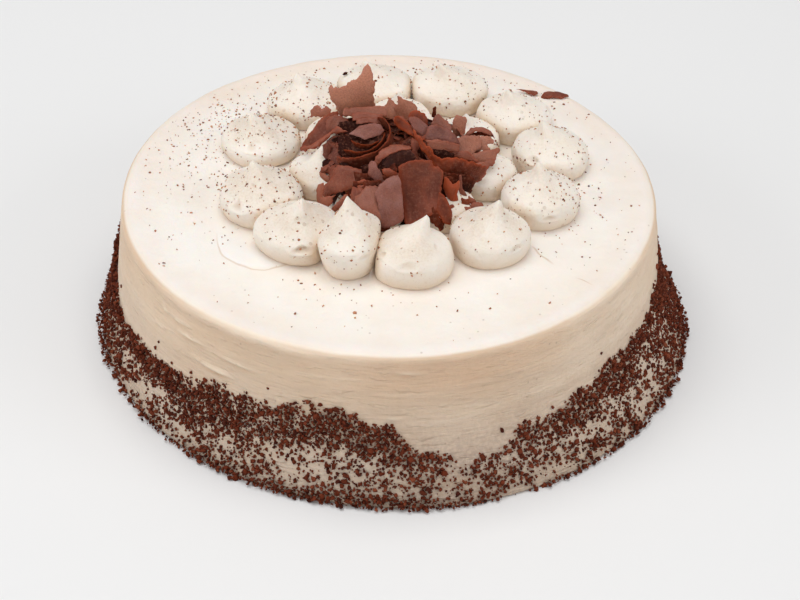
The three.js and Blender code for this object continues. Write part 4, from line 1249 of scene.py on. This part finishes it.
     [(-2.6, 0.6), (-0.4, 1.5), (2.4, 1), (1.8, -1), (-1, -1.3)]),
    ("rear_fill_1", (-2, 27, 17), (170, 25, 5), (26, 0), 0.5, (0.5, 0.2, 0.3),
     [(-8, -6), (7, -6), (9, 0), (5, 5), (-6, 5), (-9, 0)]),
    ("rear_fill_2", (16, 26, 15), (150, 35, -12), (20, 0), 0.5, (0.4, 0.4, 0.3),
     [(-7, -5), (6, -5), (8, 0), (5, 5), (-5, 5), (-8, 0)]),
    ("rear_fill_3", (-19, 26, 13.5), (205, 35, 10), (18, 30), 0.5, (0.55, 0.1, 0.3),
     [(-6, -5), (6, -5), (7, 0), (3, 5), (-6, 5), (-8, 0)]),
    ("rear_fill_4", (28, 17, 16), (120, 30, 0), (18, 0), 0.5, (0.45, 0.2, 0.3),
     [(-6, -4), (6, -4), (8, 0), (5, 4), (-5, 4), (-7, 0)]),
    ("rear_fill_5", (6, 32, 15), (180, 20, -6), (16, 0), 0.5, (0.4, 0.1, 0.3),
     [(-5, -5), (6, -5), (7, 0), (5, 5), (-4, 5), (-7, 0)]),
    ("far_chip", (-19, 69, 10.8), (0, 62, -35), (5, 0), 0.15, (-0.2, 0, 0),
     [(-1.4, 0.3), (0.2, 0.7), (1.5, 0), (0.4, -0.7), (-1, -0.5)]),
]
# The two that lie apart: name, middle, the way it faces, curl and outline, in the same terms
stray_shavings = [
    ("shaving_stray_1", (57.0, 72.6, 1.0), (-10, 78, 0), (3.5, 90),
     [(-5.2, 1.2), (-1, 1), (3.8, 1.2), (4.4, -0.8), (2.6, -1.6), (-1, -0.2)]),
    ("shaving_stray_2", (68.2, 70.4, 1.4), (-6, 70, 6), (4, 90),
     [(-5.4, -2.2), (-5, 0.6), (0.5, 1.9), (5.4, 1.8), (5.8, 0.6), (3.4, -1.4), (-1, -1.9), (-4, -2.8)]),
]
stray_looks = (0.3, 0.1, 0.5)
stray_teeth = 0.2
stray_spacing = 0.45
heap_core = {"x": 2.0, "y": 4.0, "radius_x": 29.0, "radius_y": 28.0, "bottom": 1.0, "height": 19.5}
# The hollow of curled leaves at the left, where the small chips leave off
nest = {"x": -8.0, "y": -7.0, "clear": 11.0}
# How many leaves of each filling kind there are, their mean width and height, how far out they lie,
# and the spacing of their points
fillings = [(70, 13.0, 8.0, 0.9, 0.9), (170, 7.0, 4.6, 1.02, 0.8)]
# The turn from one filling leaf to the next, which spreads them evenly like seeds in a sunflower
even_turn = 2.39996


def turn_matrix(heading, rise, turn):
    """The turn that makes an upright leaf face a heading, lean back by a rise, and turn in its plane."""
    z_turn = Matrix.Rotation(math.radians(heading), 3, "Z")
    x_turn = Matrix.Rotation(-math.radians(rise), 3, "X")
    y_turn = Matrix.Rotation(math.radians(turn), 3, "Y")
    return np.array(z_turn @ x_turn @ y_turn)


def torn_edge(outline, teeth, seed, spacing):
    """The leaf's outline with its corners eased, set out in fine steps, and torn."""
    corners = np.array(outline, float)
    after, before = np.roll(corners, -1, axis=0), np.roll(corners, 1, axis=0)
    eased = [corners + 0.07 * (before - corners), corners + 0.07 * (after - corners)]
    eased = np.stack(eased, 1).reshape(-1, 2)
    points = []
    for start, end in zip(eased, np.roll(eased, -1, axis=0)):
        steps = max(1, round(math.dist(start, end) / (0.75 * spacing)))
        points.append(start + (end - start) * np.arange(steps)[:, None] / steps)
    points = np.concatenate(points)
    along = np.roll(points, -1, axis=0) - np.roll(points, 1, axis=0)
    outward = np.stack([along[:, 1], -along[:, 0]], -1) / np.linalg.norm(along, axis=1)[:, None]
    place = np.column_stack([points, np.full(len(points), seed)])
    torn = 1.2 * lattice_noise(place, 1.0, 61) + 0.9 * lattice_noise(place, 2.8, 63)
    return points + outward * (teeth * torn)[:, None]


def inside_outline(points, rim):
    """Which points lie inside a closed outline."""
    x, z = points[:, :1], points[:, 1:]
    x0, z0 = rim.T
    x1, z1 = np.roll(rim, -1, axis=0).T
    crosses = (z0 > z) != (z1 > z)
    rise = np.where(z1 == z0, 1, z1 - z0)
    return (crosses & (x < x0 + (z - z0) * (x1 - x0) / rise)).sum(axis=1) % 2 == 1


def flat_leaf(outline, teeth, seed, spacing):
    """A leaf before it is bent: its points, its triangles, and how far each point is from the edge."""
    rim = torn_edge(outline, teeth, seed, spacing)
    low, high = rim.min(axis=0), rim.max(axis=0)
    lines = []
    for i, row in enumerate(np.arange(low[1], high[1], spacing * 0.87)):
        line = np.arange(low[0] + i % 2 * spacing / 2, high[0], spacing)
        lines.append(np.column_stack([line, np.full(len(line), row)]))
    grid = np.concatenate(lines)
    clear = np.linalg.norm(grid[:, None] - rim, axis=2).min(axis=1) > 0.6 * spacing
    grid = grid[clear & inside_outline(grid, rim)]
    flat = [Vector(point) for point in np.concatenate([rim, grid])]
    loop = [(i, (i + 1) % len(rim)) for i in range(len(rim))]
    flat, _, triangles, _, _, _ = delaunay_2d_cdt(flat, loop, [], 1, 1e-5)
    flat, triangles = np.array([point[:] for point in flat]), np.array(triangles)
    used, triangles = np.unique(triangles, return_inverse=True)
    flat, triangles = flat[used], triangles.reshape(-1, 3)
    a, b, c = (flat[triangles[:, k]] for k in range(3))
    turned = (b[:, 0] - a[:, 0]) * (c[:, 1] - a[:, 1]) - (b[:, 1] - a[:, 1]) * (c[:, 0] - a[:, 0]) < 0
    triangles[turned] = triangles[turned][:, ::-1]
    return flat, triangles, np.linalg.norm(flat[:, None] - rim, axis=2).min(axis=1)


def leaf_wave(own, along, seed):
    """How far a leaf is lifted off its plain curl: small waves, and its own roll along the curl."""
    wave = 0.3 * lattice_noise(own, 5.5, 69) + 0.1 * lattice_noise(own * (1, 0.2, 1), 0.9, 71)
    roll = 26 + 12 * scatter_value(seed, 5)
    return wave + along * along / (2 * roll) * (1 if scatter_value(seed, 9) > -0.3 else -0.6)


def leaf_shell(outline, curl, teeth, seed, spacing):
    """A thin closed leaf inside an outline: points, faces, how near each point is to the edge, and its
    own flat coordinates. It stands in the XZ plane with its outside towards -Y and bends round a
    bar of the curl's radius that lies square to the curl's direction."""
    flat, triangles, from_edge = flat_leaf(outline, teeth, seed, spacing)
    radius, direction = curl[0], math.radians(curl[1])
    cos, sin = math.cos(direction), math.sin(direction)
    across = flat[:, 0] * cos + flat[:, 1] * sin
    along = flat[:, 1] * cos - flat[:, 0] * sin
    own = np.column_stack([across, along, np.full(len(flat), 13.7 * seed)])
    wave = leaf_wave(own, along, seed)
    inward = smooth_step(from_edge, 0, 1.5)
    half = shaving_edge_half_thickness + (shaving_half_thickness - shaving_edge_half_thickness) * inward
    layers = []
    for offset in (-half, half):
        reach = radius - wave - offset
        bent = reach * np.sin(across / radius)
        back = radius - reach * np.cos(across / radius)
        layers.append(np.column_stack([bent * cos - along * sin, back, bent * sin + along * cos]))
    sides = np.concatenate([triangles[:, [0, 1]], triangles[:, [1, 2]], triangles[:, [2, 0]]])
    known = {tuple(side) for side in sides.tolist()}
    open_sides = np.array([side for side in sides.tolist() if (side[1], side[0]) not in known])
    count = len(flat)
    rim_faces = np.column_stack([open_sides[:, ::-1], open_sides + count])
    faces = triangles.tolist() + (triangles[:, ::-1] + count).tolist() + rim_faces.tolist()
    edge = np.tile(np.clip(1 - from_edge / 2.4, 0, 1), 2)
    return np.concatenate(layers), faces, edge, np.tile(own, (2, 1))


def leaves_mesh(name, leaves):
    """One mesh of many leaves, each given as its shell, its turn, its place, its tone, bloom and glow."""
    points, faces, edges, flats, looks, count = [], [], [], [], [], 0
    for (shell, shell_faces, edge, flat), turned, at, tone, bloom_and_sheen, glow in leaves:
        points.append(shell @ turned.T + at + (axis_x, axis_y, cake_height))
        faces += [[corner + count for corner in face] for face in shell_faces]
        count += len(shell)
        edges.append(edge)
        flats.append(flat)
        looks.append(np.tile((tone, bloom_and_sheen, glow), (len(shell), 1)))
    mesh = bpy.data.meshes.new(name)
    mesh.from_pydata((np.concatenate(points) * MM).tolist(), [], faces)
    mesh.shade_smooth()
    point_values(mesh, "edge", np.concatenate(edges))
    for column, label in enumerate(("tone", "bloom_and_sheen", "glow")):
        point_values(mesh, label, np.concatenate(looks)[:, column])
    own = mesh.attributes.new("own_place", "FLOAT_VECTOR", "POINT")
    own.data.foreach_set("vector", np.concatenate(flats).astype(np.float32).ravel())
    return mesh


def chocolate_material():
    """Milk chocolate shaving: satin brown with fine blade grooves, a patchy grey bloom and painted sheen,
    pale frost where it was scraped, and torn edges painted orange where light shines through them."""
    material, tree, shader, _ = new_material("shaved_chocolate")
    own = node(tree, "ShaderNodeAttribute", attribute_name="own_place").outputs["Vector"]
    edge, glow = painted(tree, "edge"), painted(tree, "glow")
    cloud = noise(tree, own, 0.2, 3)
    shade = plus(tree, painted(tree, "tone"), remap(tree, cloud, 0.3, 0.7, -0.1, 0.1))
    tones = [(0.0, (42, 12, 6)), (0.2, (94, 40, 25)), (0.4, (128, 64, 44)), (0.6, (150, 84, 60))]
    colour = ramp(tree, shade, *tones, (1.0, (198, 132, 104)))
    patch = remap(tree, noise(tree, own, 0.16, 4), 0.38, 0.62, 0.45, 1)
    dull = times(tree, painted(tree, "bloom_and_sheen"), times(tree, patch, 0.8))
    colour = mix_colour(tree, dull, colour, (160, 115, 107))
    frost = noise(tree, own, 0.9, 3, Roughness=0.6)
    colour = mix_colour(tree, remap(tree, frost, 0.5, 0.68, 0, 0.4), colour, (156, 104, 84))
    fine = noise(tree, own, 1.7, 5)
    colour = mix_colour(tree, remap(tree, fine, 0.35, 0.7, 0, 0.3), colour, (74, 32, 20))
    # Painted light: thin torn edges, and whole leaves whose glow is over 1, turn orange as if lit through
    shine = plus(tree, calculate(tree, "POWER", edge, 2), remap(tree, cloud, 0.35, 0.7, -0.15, 0.35))
    thin = times(tree, remap(tree, shine, 0, 1, 0, 0.62), glow)
    thin = calculate(tree, "MINIMUM", plus(tree, thin, remap(tree, glow, 1, 3, 0, 0.8)), 0.85)
    colour = mix_colour(tree, thin, colour, (166, 70, 32))
    grooves = noise(tree, squeezed(tree, own, 3.2, 0.25, 1), 1.3, 4)
    relief = plus(tree, grooves, times(tree, fine, 0.6))
    finish_surface(tree, shader, colour, remap(tree, grooves, 0.3, 0.7, 0.3, 0.48), relief, 0.6, 0.4 * MM)
    tree.links.new(remap(tree, shade, 0.1, 0.55, 0.06, 0.34), shader.inputs["Specular IOR Level"])
    let_light_in(shader, 0.18, 1.2 * MM, (1.0, 0.35, 0.15))
    return material


def heap_core_mesh():
    """The low craggy mound of broken chocolate that the leaves lie on, painted in the darkest tone as the
    shade deep in the heap.
    """
    around = 120
    angle = np.arange(around) * 2 * math.pi / around
    middle = np.array([heap_core["x"], heap_core["y"], 0])
    rings = []
    for rise in np.linspace(-6, 88, 40):
        out = math.cos(math.radians(rise)) ** 0.7
        up = heap_core["height"] * math.sin(math.radians(max(rise, 0))) ** 0.75
        ring = np.stack([
            heap_core["x"] + heap_core["radius_x"] * out * np.cos(angle),
            heap_core["y"] + heap_core["radius_y"] * out * np.sin(angle),
            np.full(around, heap_core["bottom"] + up + min(rise, 0) * 0.1),
        ], -1)
        swell = 1 + 0.09 * lattice_noise(ring, 5.5, 73) + 0.05 * lattice_noise(ring, 2.0, 75)
        ring = middle + (ring - middle) * swell[:, None]
        rings.append(ring + (axis_x, axis_y, cake_height))
    mesh = ring_stack("shavings_core", np.array(rings))
    point_values(mesh, "tone", np.full(len(mesh.vertices), -1))
    return mesh


def kiss_top(x, y):
    """Height of the nearest kiss's dome over the cake's top at a place."""
    heights = [0.0]
    for kiss in kisses:
        out = math.hypot(x - kiss["x"], y - kiss["y"]) / kiss["across"]
        heights.append(0.62 * kiss["height"] * math.sqrt(max(1 - out * out, 0)))
    return max(heights)


def chip_outline(i, width, height):
    """The five uneven corners of a filling leaf."""
    corners = []
    for corner in range(5):
        turn = math.radians(72 * corner + 30 * scatter_value(i, 20 + corner))
        reach = 0.52 + 0.2 * scatter_value(i, 30 + corner)
        corners.append((width * reach * math.cos(turn), height * reach * math.sin(turn)))
    return corners


def filling_leaves():
    """Middling leaves and small chips that lie every way over the mound, under the large leaves."""
    leaves = []
    for kind, (count, width, height, reach, spacing) in enumerate(fillings):
        for i in range(count):
            across, around = reach * math.sqrt((i + 0.5) / count), (i + 0.4 * kind) * even_turn
            x = heap_core["x"] + heap_core["radius_x"] * across * math.cos(around)
            y = heap_core["y"] + heap_core["radius_y"] * across * math.sin(around)
            if math.hypot(x - nest["x"], y - nest["y"]) < nest["clear"]:
                continue
            mound = heap_core["bottom"] + heap_core["height"] * max(1 - across * across, 0) ** 0.4
            z = max(mound, kiss_top(x, y) + 1.2) + 1.0 + 0.8 * scatter_value(i, 2 + kind)
            wide, high = width * (1 + 0.4 * scatter_value(i, 4)), height * (1 + 0.4 * scatter_value(i, 6))
            heading = math.degrees(around) + 90 + 40 * scatter_value(i, 8)
            turned = turn_matrix(heading, 48 + 26 * scatter_value(i, 10), 40 * scatter_value(i, 12))
            bend = (8 + 4 * scatter_value(i, 14)) * (1 if scatter_value(i, 15) > -0.2 else -1.4)
            curl, seed = (bend, 90 * scatter_value(i, 17)), 100 + 200 * kind + i
            shell = leaf_shell(chip_outline(i, wide, high), curl, 0.3, seed, spacing)
            # Chips nearer the middle of the mound are darker: painted shade deep in the heap
            tone = 0.02 + 0.5 * across**2 + 0.2 * scatter_value(i, 16)
            bloom_and_sheen = max(0, 0.4 * scatter_value(i, 18))
            leaves.append((shell, turned, np.array([x, y, z]), tone, bloom_and_sheen, 0.25))
    return leaves


shaved_chocolate = chocolate_material()
leaves = []
for seed, (_, at, faces, curl, teeth, looks, outline) in enumerate(large_shavings):
    shell = leaf_shell(outline, curl, teeth, seed, large_leaf_spacing)
    leaves.append((shell, turn_matrix(*faces), np.array(at), *looks))
heap_pieces = [
    leaves_mesh("shavings_large", leaves), leaves_mesh("shavings_chips", filling_leaves()),
    heap_core_mesh(),
]
for mesh in heap_pieces:
    mesh.materials.append(shaved_chocolate)
    stand(mesh.name, mesh, "chocolate", "shavings_heap")
for seed, (name, at, faces, curl, outline) in enumerate(stray_shavings):
    shell = leaf_shell(outline, curl, stray_teeth, 80 + seed, stray_spacing)
    mesh = leaves_mesh(name + "_leaf", [(shell, turn_matrix(*faces), np.array(at), *stray_looks)])
    mesh.materials.append(shaved_chocolate)
    stand(mesh.name, mesh, "chocolate", name)

# ---- Chocolate specks ----
# Fine gratings that fell round the heap while it was dressed: dots of chocolate on the flat top
# and on the kisses, thickest on the left. The same trees scatter them as tiny flat lumps.
speck_sizes = dict(
    spacing=0.4 * MM, gathering=1.0, smallest=0.42 * MM, largest=1.25 * MM, size_bias=1.9,
    flatness=0.5, cragginess=0.9, segments=5, rings=3,
)
speck_lift = 0.05 * MM
# Where they lie thickest on the top: place about the axis, spread and share
speck_drifts = [
    (-60, 30, 20, 0.9), (-72, 60, 20, 0.5), (-52, -4, 14, 0.5), (-22, -64, 10, 0.3), (62, -2, 18, 0.3),
    (10, 84, 30, 0.35), (-2, -55, 10, 0.2), (48, 62, 20, 0.2),
]
# How thickly they lie on each outer kiss, and on the inner ones
outer_speck_shares = (0.3, 0.12, 0.35, 0.75, 0.55, 0.4, 0.5, 0.3, 0.75, 1.0, 0.85, 0.32)
inner_speck_share = 0.5


def top_speck_sheet():
    """A round sheet over the flat top with how thickly specks lie on it."""
    around, rows = 180, 50
    angle = np.arange(around + 1) * 2 * math.pi / around
    radius = np.linspace(1, top_radius - 4, rows)[:, None]
    x, y = radius * np.cos(angle), radius * np.sin(angle)
    cover = 0.03 + 0.06 * smooth_step(y, -70, -20)
    for middle_x, middle_y, spread, share in speck_drifts:
        cover += share * np.exp(-((x - middle_x) ** 2 + (y - middle_y) ** 2) / (2 * spread**2))
    z = cake_height + top_relief(x, y) - 0.3
    points = np.stack([x + axis_x, y + axis_y, z], -1)
    mesh = sheet_mesh("top_speck_sheet", points, turned_over=True)
    point_values(mesh, "cover", cover)
    point_values(mesh, "pile", np.full(x.size, speck_lift))
    return mesh


def kiss_speck_sheet():
    """All the kisses' skins as one sheet, with how thickly specks lie on each."""
    joined = bmesh.new()
    shares = []
    for index, kiss in enumerate(kisses):
        skin = bpy.data.objects[kiss["name"] + "_cream"].data
        joined.from_mesh(skin)
        heights = np.array([vertex.co.z for vertex in skin.vertices]) / MM - cake_height
        share = outer_speck_shares[index] if index < len(outer_speck_shares) else inner_speck_share
        level = heights / kiss["height"]
        shares.append(share * smooth_step(level, 0.12, 0.4) * (1 - 0.6 * smooth_step(level, 0.65, 0.85)))
    mesh = bpy.data.meshes.new("kiss_speck_sheet")
    joined.to_mesh(mesh)
    joined.free()
    point_values(mesh, "cover", np.concatenate(shares))
    point_values(mesh, "pile", np.full(len(mesh.vertices), speck_lift))
    return mesh


def speck_material():
    """Grated milk chocolate: from dark shavings to dust so fine that it looks orange."""
    material, tree, shader, place = new_material("grated_chocolate")
    tones = [(0.0, (104, 60, 42)), (0.25, (148, 92, 64)), (0.7, (190, 130, 96)), (1.0, (213, 163, 129))]
    colour = ramp(tree, painted(tree, "tone"), *tones)
    grain = noise(tree, place, 3000, 2)
    finish_surface(tree, shader, colour, remap(tree, grain, 0.3, 0.7, 0.5, 0.75), grain, 0.5, 0.1 * MM)
    shader.inputs["Specular IOR Level"].default_value = 0.15
    return material


grated_chocolate = speck_material()
for name, seed, carrier, density in (
    ("specks_on_top", 401, top_speck_sheet(), 170000.0),
    ("specks_on_kisses", 503, kiss_speck_sheet(), 190000.0),
):
    specks = scatter_over(carrier, name, seed, grated_chocolate, per_square_metre=density, **speck_sizes)
    stand(name, specks, "chocolate")
    bpy.data.meshes.remove(carrier)

# ---- Floor, light and camera ----
# A pale floor under a wide soft light from above, with weaker soft lights from both sides, and a
# camera with a long lens that looks down on the front of the cake.
floor_reach = 6
room_light = 0.37
# Every lamp points at the middle of the cake, low down. Each lamp: name, place in metres, width
# and power
light_target = Vector((0, 0, 0.04))
lamps = [
    ("overhead", (-0.15, -0.05, 1.5), 1.3, 13.2),
    ("left", (-1.45, -0.62, 0.8), 1.0, 6.6),
    ("right", (1.42, -0.58, 0.8), 1.0, 6),
]
floor_corners = [(x * floor_reach, y * floor_reach, 0) for x, y in ((-1, -1), (1, -1), (1, 1), (-1, 1))]
floor_mesh = bpy.data.meshes.new("floor")
floor_mesh.from_pydata(floor_corners, [], [(0, 1, 2, 3)])
floor = bpy.data.objects.new("floor", floor_mesh)
bpy.context.scene.collection.objects.link(floor)
floor_paint, _, floor_shader, _ = new_material("pale_floor")
floor_shader.inputs["Base Color"].default_value = (0.86, 0.86, 0.86, 1)
floor_shader.inputs["Roughness"].default_value = 0.9
floor_shader.inputs["Specular IOR Level"].default_value = 0.1
floor_mesh.materials.append(floor_paint)

world = bpy.data.worlds.new("studio")
bpy.context.scene.world = world
world.use_nodes = True
world.node_tree.nodes["Background"].inputs["Color"].default_value = (1, 1, 1, 1)
world.node_tree.nodes["Background"].inputs["Strength"].default_value = room_light

for name, place, size, power in lamps:
    lamp = bpy.data.lights.new(name, "AREA")
    lamp.shape = "SQUARE"
    lamp.size = size
    lamp.energy = power
    light = bpy.data.objects.new(name, lamp)
    bpy.context.scene.collection.objects.link(light)
    light.location = place
    light.rotation_euler = (light_target - light.location).to_track_quat("-Z", "Y").to_euler()

camera_pitch = math.radians(37.14)
camera_roll = math.radians(0.94)
camera_distance = 860.74
camera_lens = 99.0
camera_sensor = 36
# How far the camera aims to the right of the middle of the cake's top, and below it
aim_right = 4.4367
aim_below = 43.1426
ahead = Vector((0, math.cos(camera_pitch), -math.sin(camera_pitch)))
level_up = Vector((0, math.sin(camera_pitch), math.cos(camera_pitch)))
right = math.cos(camera_roll) * Vector((1, 0, 0)) + math.sin(camera_roll) * level_up
upward = math.cos(camera_roll) * level_up - math.sin(camera_roll) * Vector((1, 0, 0))
top_middle = Vector((axis_x, axis_y, cake_height))
aim = top_middle + right * aim_right - upward * aim_below
camera_place = aim - ahead * camera_distance
camera_data = bpy.data.cameras.new("camera")
camera_data.sensor_width = camera_sensor
camera_data.lens = camera_lens
camera = bpy.data.objects.new("camera", camera_data)
bpy.context.scene.collection.objects.link(camera)
turn = Matrix((right, upward, -ahead)).transposed()
camera.matrix_world = Matrix.Translation(camera_place * MM) @ turn.to_4x4()
bpy.context.scene.camera = camera
bpy.context.scene.view_settings.view_transform = "Standard"
